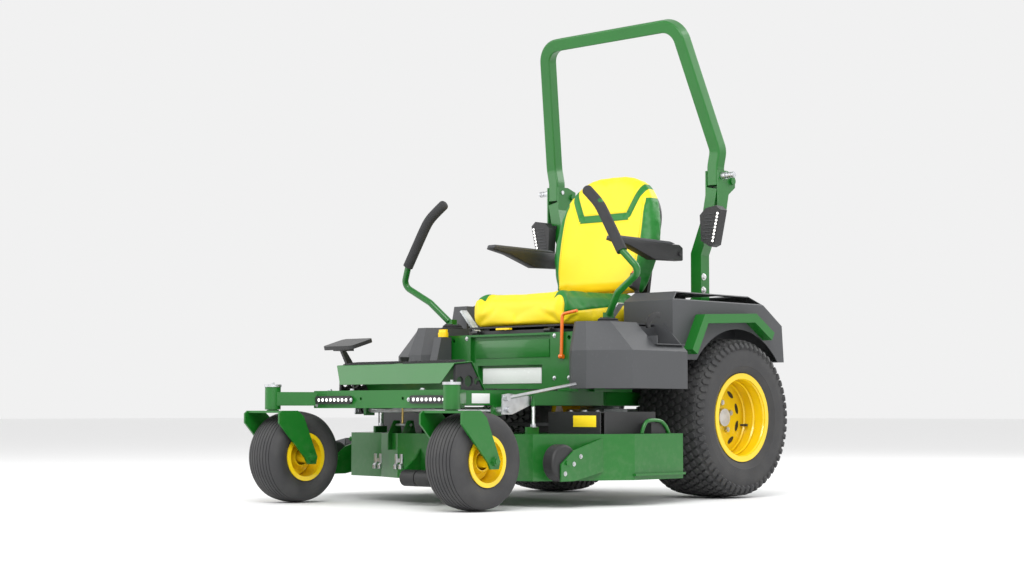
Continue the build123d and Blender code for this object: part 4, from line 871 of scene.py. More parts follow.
def stitch_tree() -> Grower:
    """Tree that lays stitches of one length along the base mesh's edges."""
    grower = Grower(
        "stitches_on_line",
        {
            "Shape": "NodeSocketObject",
            "Pitch": "NodeSocketFloat",
            "Material": "NodeSocketMaterial",
        },
    )
    line = grower.node("GeometryNodeMeshToCurve", {}, {0: grower.given("Geometry")})
    even = grower.node(
        "GeometryNodeResampleCurve", {"mode": "LENGTH"}, {"Curve": line, "Length": grower.given("Pitch")}
    )
    along = grower.node("GeometryNodeInputTangent", {}, {})
    facing = grower.node("FunctionNodeAlignRotationToVector", {"axis": "X"}, {"Vector": along})
    shape = grower.node("GeometryNodeObjectInfo", {}, {"Object": grower.given("Shape")}, "Geometry")
    spread = grower.node(
        "GeometryNodeInstanceOnPoints", {}, {"Points": even, "Instance": shape, "Rotation": facing}
    )
    grower.close(spread)
    return grower


def spots(places: Sequence[Point], edges: Sequence[Sequence[int]] = ()) -> bpy.types.Object:
    """A bare mesh of points, and edges where given, for a tree to grow from."""
    data = bpy.data.meshes.new("spots")
    data.from_pydata([tuple(p) for p in places], [tuple(e) for e in edges], [])
    item = bpy.data.objects.new("spots", data)
    bpy.context.scene.collection.objects.link(item)
    return item


@dataclass
class Patterns:
    """The grown patterns: treads, bolts, lamps, fins and stitches."""

    shop: Shop
    rings: Grower = field(default_factory=ring_tree)
    studs: Grower = field(default_factory=stud_tree)
    stitches: Grower = field(default_factory=stitch_tree)

    def ring(
        self, name: str, shape: bpy.types.Object, finish: str, centre: Point, **sizes: float
    ) -> bpy.types.Object:
        """One shape in rows round an X axis; sizes are the tree's named inputs."""
        values: dict[str, Any] = {"Stagger": 0.5, "Crown": 0.0, "Width": 0.001, "Rows": 1}
        values.update(sizes)
        values["Centre"] = tuple(centre)
        values["Material"] = self.shop.finishes[finish]
        return self.rings.run(self.shop, name, shape, values)

    def at(
        self,
        name: str,
        shape: bpy.types.Object,
        finish: str,
        places: Sequence[Point],
        turn: Point = (0, 0, 0),
        size: float = 1.0,
    ) -> bpy.types.Object:
        """One shape at each place, turned alike; the shape is used up."""
        base = spots(places)
        values = {
            "Shape": shape,
            "Turn": tuple(turn),
            "Size": size,
            "Material": self.shop.finishes[finish],
        }
        made = self.studs.run(self.shop, name, base, values)
        bpy.data.objects.remove(shape)
        return made

    def sew(self, name: str, line: Sequence[Point], pitch: float, finish: str) -> bpy.types.Object:
        """Stitches along a line of points."""
        base = spots(line, [(i, i + 1) for i in range(len(line) - 1)])
        thread = self.shop.slab("thread", (-0.0024, 0.0024), (-0.0008, 0.0008), (-0.0006, 0.0007), 0.0004)
        values = {"Shape": thread, "Pitch": pitch, "Material": self.shop.finishes[finish]}
        made = self.stitches.run(self.shop, name, base, values)
        bpy.data.objects.remove(thread)
        return made

    def hex_head(self, across: float = 0.013, tall: float = 0.006) -> bpy.types.Object:
        """A bolt head with a washer, standing on its local XY plane."""
        rim = [(0, across * 0.78), (0.0012, across * 0.78), (0.0014, across * 0.72)]
        washer = self.shop.turned("washer", rim, (0, 0, 0), "Z", 16)
        corners = [
            (across / 1.9 * math.cos(math.pi / 3 * i), across / 1.9 * math.sin(math.pi / 3 * i))
            for i in range(6)
        ]
        head = self.shop.prism("head", corners, (0.0013, tall), "Z", 0.0006)
        return self.shop.join("bolt", [washer, head])


def both(body: str, side: str) -> str:
    """Name of a body or node that exists once per side."""
    return f"{body}_{side}"


# ------------------------------------------------------------------ wheels
@dataclass
class RearWheels:
    """Drive tyres with a turf tread, and the fittings of their rims."""

    shop: Shop
    patterns: Patterns
    axle: tuple[float, float] = (0.0, 0.305)
    middle: float = 0.412
    blocks: int = 56
    rows: int = 9
    disc: float = 0.0335

    def profile(self) -> list[tuple[float, float]]:
        """Closed section of the tyre as (offset, radius)."""
        outer = [
            (0.1335, 0.1525),
            (0.1335, 0.1695),
            (0.1395, 0.1760),
            (0.1470, 0.1900),
            (0.1488, 0.1945),
            (0.1502, 0.1960),
            (0.1510, 0.2120),
            (0.1524, 0.2300),
            (0.1512, 0.2450),
            (0.1470, 0.2640),
            (0.1390, 0.2790),
            (0.1250, 0.2870),
            (0.0900, 0.2915),
            (0.0450, 0.2945),
        ]
        inner = [
            (0.0450, 0.2820),
            (0.1200, 0.2720),
            (0.1380, 0.2400),
            (0.1340, 0.1950),
            (0.1215, 0.1700),
            (0.1215, 0.1525),
        ]
        far_outer = [(-x, r) for x, r in reversed(outer)]
        far_inner = [(-x, r) for x, r in reversed(inner)]
        return outer + [(0.0, 0.2955)] + far_outer + far_inner + [(0.0, 0.2830)] + inner

    def block(self, width: float, length: float, tall: float) -> bpy.types.Object:
        """A six-sided tread block with a tapered top."""
        outline = [
            (-0.5, -0.22),
            (-0.16, -0.5),
            (0.5, -0.26),
            (0.5, 0.22),
            (0.16, 0.5),
            (-0.5, 0.26),
        ]
        verts = []
        for level, share in ((-0.003, 1.0), (tall * 0.72, 0.93), (tall, 0.80)):
            verts += [(x * width * share, y * length * share, level) for x, y in outline]
        faces = [list(range(6)), list(range(12, 18))]
        for low in (0, 6):
            faces += [[low + i, low + (i + 1) % 6, low + 6 + (i + 1) % 6, low + 6 + i] for i in range(6)]
        return self.shop.mesh("tread_block", verts, faces)

    def build(self) -> None:
        """Make both tyres, their treads and rim fittings."""
        for side, sign in SIDES:
            centre = (sign * self.middle, *self.axle)
            wheel = both("rear_wheel", side)
            tyre = self.shop.lathe(both("rear_tyre_case", side), self.profile(), centre, "X", 128)
            self.shop.dress(tyre, "rear_tyre", wheel, Slot.TYRE)
            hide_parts(both("rear_tyre", side))
            tread = self.patterns.ring(
                both("rear_tread", side),
                self.block(0.0245, 0.0295, 0.0098),
                "rear_tyre",
                centre,
                Count=self.blocks,
                Rows=self.rows,
                Radius=0.2950,
                Width=0.236,
                Crown=0.0085,
            )
            self.shop.dress(tread, "rear_tyre", wheel, Slot.TYRE)
            shoulder = self.patterns.ring(
                both("rear_shoulder", side),
                self.block(0.030, 0.0250, 0.0075),
                "rear_tyre",
                centre,
                Count=self.blocks,
                Rows=2,
                Radius=0.3862,
                Width=0.286,
                Crown=0.1144,
            )
            self.shop.dress(shoulder, "rear_tyre", wheel, Slot.TYRE)
            self.rim_fittings(side, sign, centre)

    def rim_fittings(self, side: str, sign: int, centre: Point) -> None:
        """Vent slots round the disc, a rolled bead on the flange, and the valve."""
        slot = [
            (0.016 * math.cos(a) * (1.35 if abs(math.cos(a)) > 0.5 else 1.0), 0.0085 * math.sin(a))
            for a in [2 * math.pi * i / 12 for i in range(12)]
        ]
        vent = self.shop.prism("vent", [(y, z) for y, z in slot], (-0.0007, 0.0012), "X", 0.0004)
        face = (centre[0] + sign * self.disc, centre[1], centre[2])
        vents = self.patterns.ring(
            both("rear_vents", side), vent, "black", face, Count=10, Radius=0.108
        )
        self.shop.dress(vents, "black", both("rear_wheel", side), Slot.BLACK)
        step = [(0.0, 0.1445), (0.006, 0.1478), (0.0, 0.1478)]
        for level, radius in ((0.128, 0.0), (0.085, -0.006), (0.046, -0.013)):
            ring = [(sign * (level + dx), r + radius) for dx, r in step]
            bead = self.shop.lathe(
                f"rear_rim_step_{int(level * 1000)}_{side}", ring, centre, "X", 96
            )
            self.shop.dress(bead, "yellow", both("rear_wheel", side), Slot.YELLOW)
        stem = [(0.0, 0.0042), (0.018, 0.0040), (0.019, 0.0052), (0.030, 0.0052), (0.031, 0.0036)]
        valve = self.shop.turned(
            both("rear_valve", side),
            [(sign * x, r) for x, r in stem],
            (face[0] + sign * 0.002, centre[1] + 0.128, centre[2] - 0.030),
        )
        self.shop.dress(valve, "rubber", both("rear_wheel", side), Slot.RUBBER)


@dataclass
class FrontWheels:
    """Caster tyres with ribs running round them."""

    shop: Shop
    axle: tuple[float, float] = (-1.368, 0.165)
    middle: float = 0.456
    radius: float = 0.165
    rib_half: float = 0.060
    grooves: tuple[float, ...] = (0.0075, 0.0225, 0.0370, 0.0505)
    groove_half: float = 0.0017
    groove_deep: float = 0.0046

    def crown(self, across: float) -> float:
        """Radius of the tread at an offset from the middle."""
        return self.radius - (across / self.rib_half) ** 2 * 0.0075

    def profile(self) -> list[tuple[float, float]]:
        """Closed section of the tyre as (offset, radius)."""
        wall = [
            (0.0640, 0.0765),
            (0.0640, 0.0885),
            (0.0700, 0.0960),
            (0.0770, 0.1100),
            (0.0806, 0.1250),
            (0.0785, 0.1390),
            (0.0715, 0.1500),
        ]
        half = list(wall)
        half.append((self.rib_half, self.crown(self.rib_half)))
        for spot in reversed(self.grooves):
            for across, sink in (
                (spot + self.groove_half, 0.0),
                (spot + self.groove_half * 0.6, self.groove_deep),
                (spot - self.groove_half * 0.6, self.groove_deep),
                (spot - self.groove_half, 0.0),
            ):
                half.append((across, self.crown(across) - sink))
        inner = [(0.060, 0.150), (0.071, 0.125), (0.062, 0.096), (0.055, 0.088), (0.055, 0.0765)]
        far = [(-x, r) for x, r in reversed(half)]
        return half + [(0.0, self.radius)] + far + [(-x, r) for x, r in reversed(inner)] + inner

    def build(self) -> None:
        """Make both front tyres, hub caps and valves."""
        for side, sign in SIDES:
            centre = (sign * self.middle, *self.axle)
            wheel = both("front_wheel", side)
            tyre = self.shop.lathe(both("front_tyre_case", side), self.profile(), centre, "X", 112)
            self.shop.dress(tyre, "front_tyre", wheel, Slot.TYRE)
            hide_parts(both("front_tyre", side))
            for face in (-1, 1):
                cone = [(0.004, 0.070), (0.014, 0.064), (0.016, 0.044), (0.034, 0.036), (0.044, 0.033)]
                ring = [(face * x, r) for x, r in cone]
                ring += [(face * x, r - 0.003) for x, r in reversed(cone)]
                name = f"front_dish_{side}_{'in' if face < 0 else 'out'}"
                dish = self.shop.lathe(name, ring, centre, "X", 64)
                self.shop.dress(dish, "yellow", wheel, Slot.YELLOW)
            stem = [(0.0, 0.004), (0.020, 0.004), (0.021, 0.005), (0.030, 0.005), (0.031, 0.0035)]
            valve = self.shop.turned(
                both("front_valve", side),
                [(sign * x, r) for x, r in stem],
                (centre[0] + sign * 0.003, centre[1] + 0.045, centre[2] + 0.040),
            )
            self.shop.dress(valve, "rubber", wheel, Slot.RUBBER)


# ------------------------------------------------------------------ seat
@dataclass
class Seat:
    """Padded cushion, backrest and armrests, with their seams, and the belt buckle."""

    shop: Shop
    patterns: Patterns
    hinge: tuple[float, float] = (-0.235, 0.775)
    lean: float = math.radians(12.0)
    back_half: float = 0.272
    back_tall: float = 0.525
    voxel: float = 0.0075
    swell_cap: float = 0.022
    stitch_pitch: float = 0.0085

    def remesh(self, item: bpy.types.Object) -> None:
        """Even out a mesh by voxels."""
        even = item.modifiers.new("even", "REMESH")
        even.mode = "VOXEL"
        even.voxel_size = self.voxel
        even.use_smooth_shade = True
        self.shop.bake(item)

    def swell(self, item: bpy.types.Object, held: Callable[[Vector], bool], cap: float) -> None:
        """Fill a closed skin with air by cloth simulation.

        Args:
            item: the skin; its mesh is changed.
            held: which points stay where they are.
            cap: the furthest a point may move, in metres.
        """
        rest = [v.co.copy() for v in item.data.vertices]
        pins = item.vertex_groups.new(name="held")
        pins.add([i for i, co in enumerate(rest) if held(co)], 1.0, "REPLACE")
        cloth = item.modifiers.new("cloth", "CLOTH")
        settings = cloth.settings
        settings.quality = 5
        settings.mass = 0.4
        settings.use_pressure = True
        settings.uniform_pressure_force = 4.0
        settings.tension_stiffness = 12.0
        settings.compression_stiffness = 12.0
        settings.shear_stiffness = 6.0
        settings.bending_stiffness = 1.0
        settings.vertex_group_mass = "held"
        settings.effector_weights.gravity = 0.0
        cloth.collision_settings.use_collision = False
        cloth.point_cache.frame_start = 1
        cloth.point_cache.frame_end = 20
        scene = bpy.context.scene
        for frame in range(1, 21):
            scene.frame_set(frame)
        self.shop.bake(item)
        scene.frame_set(1)
        for vertex, start in zip(item.data.vertices, rest):
            move = vertex.co - start
            if move.length > cap:
                vertex.co = start + move * (cap / move.length)
        item.vertex_groups.clear()

    def finish_skin(self, item: bpy.types.Object, seam: Callable[[Vector, Vector], float]) -> None:
        """Smooth and divide the skin, then draw its seams in.

        Args:
            item: the skin.
            seam: depth of the seam groove at a point with a normal.
        """
        ease = item.modifiers.new("ease", "SMOOTH")
        ease.iterations = 4
        ease.factor = 0.5
        divide = item.modifiers.new("divide", "SUBSURF")
        divide.levels = 1
        divide.render_levels = 1
        self.shop.bake(item)
        normals = [v.normal.copy() for v in item.data.vertices]
        for vertex, normal in zip(item.data.vertices, normals):
            vertex.co -= normal * seam(vertex.co, normal)
        item.data.polygons.foreach_set("use_smooth", [True] * len(item.data.polygons))
        item.data.update()

    @staticmethod
    def hump(value: float, width: float) -> float:
        """A bell curve, 1 at zero."""
        return math.exp(-((value / width) ** 2))

    def cushion(self) -> bpy.types.Object:
        """Seat cushion with a front roll and raised side bolsters."""
        low, high = 0.6495, 0.757
        item = self.shop.slab("cushion", (-0.243, 0.243), (-0.681, -0.214), (low, high), 0.034)
        self.remesh(item)
        for vertex in item.data.vertices:
            co = vertex.co
            top = min(max((co.z - 0.70) / (high - 0.70), 0.0), 1.0)
            bolster = self.hump(abs(co.x) - 0.208, 0.040) * min(max((co.y + 0.68) / 0.12, 0.0), 1.0)
            dip = self.hump(co.x, 0.12) * self.hump(co.y + 0.37, 0.17)
            roll = self.hump(co.y + 0.665, 0.06)
            co.z += top * (0.012 * bolster - 0.012 * dip + 0.005 * roll)
            waist = self.hump(co.z - 0.700, 0.03)
            co.x -= math.copysign(0.003 * waist, co.x)
        self.swell(item, lambda co: co.z < 0.654, self.swell_cap * 0.6)
        self.limit(item, (-0.2545, 0.2545), (-0.6945, -0.2105), (0.6493, 0.783))

        def seam(co: Vector, normal: Vector) -> float:
            """Grooves beside the bolsters and round the front roll."""
            depth = 0.0
            if normal.z > 0.2 and co.y > -0.655:
                depth += self.hump(abs(co.x) - 0.176, 0.0042)
            if normal.z > 0.2 and abs(co.x) > 0.174:
                depth += self.hump(co.y + 0.655, 0.0042)
            if abs(normal.x) > 0.6:
                depth += self.hump(co.z - (0.716 + (co.y + 0.45) * 0.11), 0.0036) * (co.y > -0.655)
                depth += self.hump(co.y + 0.655, 0.0042)
            return 0.0032 * min(depth, 1.0)

        self.finish_skin(item, seam)
        self.shop.dress(item, "cushion", "seat", Slot.VINYL)
        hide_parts("seat_cushion")
        return item

    @staticmethod
    def limit(item: bpy.types.Object, x: Point, y: Point, z: Point) -> None:
        """Keep a skin inside a box."""
        for vertex in item.data.vertices:
            for at, (least, most) in enumerate((x, y, z)):
                vertex.co[at] = min(max(vertex.co[at], least), most)

    def to_world(self, across: float, up: float, deep: float) -> tuple[float, float, float]:
        """Point of the leaning backrest: across, up its face, and into it."""
        sine, cosine = math.sin(self.lean), math.cos(self.lean)
        y = self.hinge[0] + up * sine + deep * cosine
        z = self.hinge[1] + up * cosine - deep * sine
        return across, y, z

    def to_panel(self, co: Vector) -> tuple[float, float, float]:
        """The reverse of to_world."""
        sine, cosine = math.sin(self.lean), math.cos(self.lean)
        dy, dz = co.y - self.hinge[0], co.z - self.hinge[1]
        return co.x, dy * sine + dz * cosine, dy * cosine - dz * sine

    def back_outline(self) -> list[tuple[float, float]]:
        """Outline of the backrest's face, a little inside the solid's."""
        half, tall = self.back_half - 0.010, self.back_tall - 0.010
        right = [(0.80 * half, 0.018), (0.90 * half, 0.09), (0.985 * half, 0.17), (half, 0.23)]
        right += [(0.965 * half, 0.31)]
        for step in range(1, 9):
            turn = math.radians(12 + step * 9.75)
            right.append((0.93 * half * math.cos(turn) ** 0.72, 0.315 + (tall - 0.315) * math.sin(turn)))
        left = [(-x, s) for x, s in reversed(right) if x > 0.001]
        return right + left

    def backrest(self) -> bpy.types.Object:
        """Backrest with a rounded head and side bolsters."""
        outline = self.back_outline()
        count = len(outline)
        verts = [self.to_world(x, s, 0.014) for x, s in outline]
        verts += [self.to_world(x, s, 0.072) for x, s in outline]
        faces: list[list[int]] = [list(range(count)), list(range(count, 2 * count))]
        faces += [[i, (i + 1) % count, count + (i + 1) % count, count + i] for i in range(count)]
        item = self.shop.mesh("backrest", verts, faces)
        self.shop.round_edges(item, 0.020, 4)
        self.remesh(item)
        for vertex in item.data.vertices:
            x, up, deep = self.to_panel(vertex.co)
            front = min(max((0.055 - deep) / 0.04, 0.0), 1.0)
            bolster = self.hump(abs(x) - 0.232, 0.040) * min(max((0.46 - up) / 0.12, 0.0), 1.0)
            hollow = self.hump(x, 0.14) * self.hump(up - 0.22, 0.16)
            shift = front * (0.010 * bolster - 0.012 * hollow)
            vertex.co = Vector(self.to_world(x, up, deep - shift))
        self.swell(item, lambda co: self.to_panel(co)[2] > 0.068, self.swell_cap * 0.5)

        def seam(co: Vector, normal: Vector) -> float:
            """Grooves along the bolsters and the head's band."""
            x, up, _ = self.to_panel(co)
            if normal.y > -0.25:
                return 0.0
            edge = self.inner_edge(up)
            depth = self.hump(abs(x) - edge, 0.0040) * (up < 0.40)
            arm = 0.118 + (up - 0.325) * 0.50
            for offset in (-0.0165, 0.0165):
                if 0.325 < up:
                    depth += self.hump(abs(x) - arm - offset, 0.0036)
                if abs(x) < 0.128:
                    depth += self.hump(up - 0.325 - offset, 0.0036)
            return 0.0030 * min(depth, 1.0)

        self.finish_skin(item, seam)
        self.shop.dress(item, "back", "seat", Slot.VINYL)
        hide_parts("seat_backrest")
        return item

    @staticmethod
    def inner_edge(up: float) -> float:
        """Distance of a back bolster's inner seam from the middle."""
        return 0.205 - (up - 0.24) ** 2 * 0.35

    def seams(self, cushion: bpy.types.Object, back: bpy.types.Object) -> None:
        """Stitches beside the seams, laid on the finished skins."""
        hit = BVHTree.FromPolygons(
            [v.co.copy() for v in back.data.vertices], [tuple(p.vertices) for p in back.data.polygons]
        )
        ahead = Vector(self.to_world(0, 0, -1)) - Vector(self.to_world(0, 0, 0))
        for sign in (-1, 1):
            line = []
            for step in range(56):
                up = 0.03 + step * 0.0064
                start = Vector(self.to_world(sign * (self.inner_edge(up) - 0.008), up, -0.10))
                found = hit.ray_cast(start, -ahead)[0]
                if found is not None:
                    line.append(found + ahead * 0.0006)
            self.stitch("back", sign, line)
        hit = BVHTree.FromPolygons(
            [v.co.copy() for v in cushion.data.vertices],
            [tuple(p.vertices) for p in cushion.data.polygons],
        )
        for sign in (-1, 1):
            line = []
            for step in range(60):
                start = Vector((sign * 0.168, -0.648 + step * 0.0071, 0.9))
                found = hit.ray_cast(start, Vector((0, 0, -1)))[0]
                if found is not None:
                    line.append(found + Vector((0, 0, 0.0006)))
            self.stitch("cushion", sign, line)

    def stitch(self, where: str, sign: int, line: Sequence[Point]) -> None:
        """One row of stitches on the side of a sign."""
        side = "left" if sign > 0 else "right"
        sewn = self.patterns.sew(f"{where}_stitches_{side}", line, self.stitch_pitch, "piping")
        self.shop.dress(sewn, "piping", "seat", Slot.VINYL)

    def armrests(self) -> None:
        """Moulded armrest bodies with a softer pad along the top."""
        outline = [
            (-0.492, 0.967),
            (-0.489, 0.974),
            (-0.098, 0.971),
            (-0.078, 0.960),
            (-0.078, 0.910),
            (-0.250, 0.906),
            (-0.400, 0.951),
        ]
        pad = [(-0.491, 0.972), (-0.484, 0.985), (-0.155, 0.981), (-0.120, 0.974), (-0.155, 0.970)]
        for side, sign in SIDES:
            near, far = sign * 0.2875, sign * 0.3305
            body = self.shop.prism(both("armrest_body", side), outline, (near, far), "X", 0.006)
            self.shop.dress(body, "black_moulding", both("armrest", side), Slot.PLASTIC)
            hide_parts(both("armrest", side))
            top = self.shop.prism(both("armrest_pad", side), pad, (near, far), "X", 0.005)
            self.shop.dress(top, "dark_moulding", both("armrest", side), Slot.PLASTIC)

    def buckle(self) -> None:
        """Belt buckle on its stalk at the left rear of the seat."""
        stalk = self.shop.tube(
            "belt_stalk", [(0.262, -0.262, 0.655), (0.275, -0.270, 0.72), (0.276, -0.300, 0.80)], 0.009
        )
        self.shop.dress(stalk, "webbing", "seat", Slot.RUBBER)
        outline = [(-0.334, 0.800), (-0.292, 0.784), (-0.276, 0.838), (-0.318, 0.856)]
        case = self.shop.prism("belt_buckle", outline, (0.262, 0.286), "X", 0.005)
        self.shop.dress(case, "black_moulding", "seat", Slot.PLASTIC)
        button = [(-0.316, 0.852), (-0.286, 0.840), (-0.283, 0.851), (-0.311, 0.863)]
        red = self.shop.prism("belt_button", button, (0.266, 0.283), "X", 0.003)
        self.shop.dress(red, "red", "seat", Slot.PLASTIC)

    def build(self) -> None:
        """Make the whole seat."""
        cushion = self.cushion()
        back = self.backrest()
        self.seams(cushion, back)
        self.armrests()
        self.buckle()


# ------------------------------------------------------------------ levers
@dataclass
class LeverGrips:
    """Foam grips over the ends of the control levers, with a gaiter at each foot."""

    shop: Shop
    patterns: Patterns
    radius: float = 0.0198
    low: tuple[float, float, float] = (0.550, -0.709, 0.897)
    knee: tuple[float, float, float] = (0.440, -0.703, 1.076)
    tip: tuple[float, float, float] = (0.371, -0.689, 1.130)

    def build(self) -> None:
        """Make both grips and gaiters."""
        for side, sign in SIDES:
            low, knee, tip = (Vector((p[0] * sign, p[1], p[2])) for p in (self.low, self.knee, self.tip))
            before = knee + (low - knee).normalized() * 0.034
            after = knee + (tip - knee).normalized() * 0.034
            line = [low, (low + before) / 2, before, (before + knee + knee + after) / 4, after, tip]
            grip = self.shop.tube(both("lever_grip", side), line, self.radius, True, 16)
            cap = self.shop.turned(
                both("grip_end", side),
                [(0.0, 0.0198), (0.004, 0.0190), (0.009, 0.0155), (0.012, 0.010), (0.013, 0.002)],
                (0, 0, 0),
                "Z",
                24,
            )
            facing = (tip - knee).normalized().to_track_quat("Z", "Y").to_matrix().to_4x4()
            cap.data.transform(Matrix.Translation(tip - (tip - knee).normalized() * 0.0005) @ facing)
            whole = self.shop.join(both("lever_foam", side), [grip, cap])
            self.shop.smooth(whole, 50.0)
            self.shop.dress(whole, "foam", both("lever", side), Slot.RUBBER)
            folds = [(0.000, 0.040), (0.004, 0.043), (0.008, 0.036), (0.012, 0.038), (0.016, 0.030)]
            ring = folds + [(a, r - 0.004) for a, r in reversed(folds)]
            boot = self.shop.lathe(
                both("lever_boot", side), ring, (sign * 0.400, -0.611, 0.6505), "Z", 40
            )
            self.shop.dress(boot, "rubber", "chassis", Slot.RUBBER)


# ------------------------------------------------------------------ lamps and labels
@dataclass
class Lamps:
    """Lenses of the crossbar lamps and of the work lamps on the guard posts."""

    shop: Shop
    patterns: Patterns
    bar: tuple[float, float] = (0.160, 0.330)
    bar_y: float = -1.368
    bar_z: float = 0.369
    diodes: int = 8

    def dome(self, radius: float = 0.0052) -> bpy.types.Object:
        """One round lens standing on its local XY plane."""
        profile = [
            (0.0, radius * 1.15),
            (0.001, radius * 1.12),
            (0.0014, radius * 0.9),
            (0.0026, radius * 0.6),
            (0.0031, radius * 0.15),
        ]
        return self.shop.turned("dome", profile, (0, 0, 0), "Z", 12)

    def build(self) -> None:
        """Make the lenses on both sides."""
        turn = (math.radians(90), 0, 0)
        for side, sign in SIDES:
            x = sorted((sign * self.bar[0], sign * self.bar[1]))
            plate = self.shop.slab(
                both("bar_lens", side), x, (self.bar_y - 0.0014, self.bar_y + 0.001), (0.3605, 0.3775), 0.0012
            )
            self.shop.dress(plate, "lens_dark", "chassis", Slot.PLASTIC)
            step = (self.bar[1] - self.bar[0] - 0.024) / (self.diodes - 1)
            places = [
                (sign * (self.bar[0] + 0.012 + step * i), self.bar_y - 0.0012, self.bar_z)
                for i in range(self.diodes)
            ]
            lights = self.patterns.at(both("bar_diodes", side), self.dome(), "lens", places, turn)
            self.shop.dress(lights, "lens", "chassis", Slot.GUIDE)
            self.work_lamp(side, sign)

    def work_lamp(self, side: str, sign: int) -> None:
        """Lens strip, diodes and cooling ribs of one work lamp."""
        face_y = -0.052
        strip = [(0.446, 0.972), (0.459, 0.976), (0.487, 1.092), (0.474, 1.096)]
        lens = self.shop.prism(
            both("work_lens", side),
            [(sign * x, z) for x, z in strip],
            (face_y - 0.0015, face_y + 0.001),
            "Y",
            0.0008,
        )
        self.shop.tidy_normals(lens)
        self.shop.dress(lens, "lens_dark", "chassis", Slot.PLASTIC)
        places = [
            (sign * (0.4545 + 0.0245 * i / 8), face_y - 0.0013, 0.982 + 0.104 * i / 8) for i in range(9)
        ]
        lights = self.patterns.at(
            both("work_diodes", side), self.dome(0.0045), "lens", places, (math.radians(90), 0, 0)
        )
        self.shop.dress(lights, "lens", "chassis", Slot.GUIDE)
        rib = self.shop.slab("rib", (-0.021, 0.021), (-0.0015, 0.0015), (-0.0012, 0.0012), 0.0006)
        ribs = [(sign * (0.424 + 0.0025 * i), face_y - 0.001, 0.992 + 0.0135 * i) for i in range(8)]
        fins = self.patterns.at(both("work_ribs", side), rib, "dark_moulding", ribs)
        self.shop.dress(fins, "dark_moulding", "chassis", Slot.PLASTIC)


@dataclass
class Labels:
    """Blank plates where a maker would put signs, left without any lettering."""

    shop: Shop

    def build(self) -> None:
        """Make every blank plate."""
        plates = (
            ("cover_plate_front", (0.442, 0.548), (-0.8510, -0.8496), (0.274, 0.314), "label_yellow", "deck"),
            ("rail_plate", (0.3296, 0.3310), (-1.246, -1.158), (0.356, 0.390), "label_pale", "chassis"),
            ("seat_box_window", (-0.150, 0.150), (-0.6955, -0.6928), (0.432, 0.490), "label_pale", "chassis"),
            ("seat_box_plate", (-0.188, 0.188), (-0.6955, -0.6925), (0.528, 0.594), "green", "chassis"),
        )
        for name, x, y, z, finish, body in plates:
            item = self.shop.slab(name, x, y, z, 0.0005)
            slot = Slot.GREEN if finish == "green" else Slot.PLASTIC
            self.shop.dress(item, finish, body, slot)


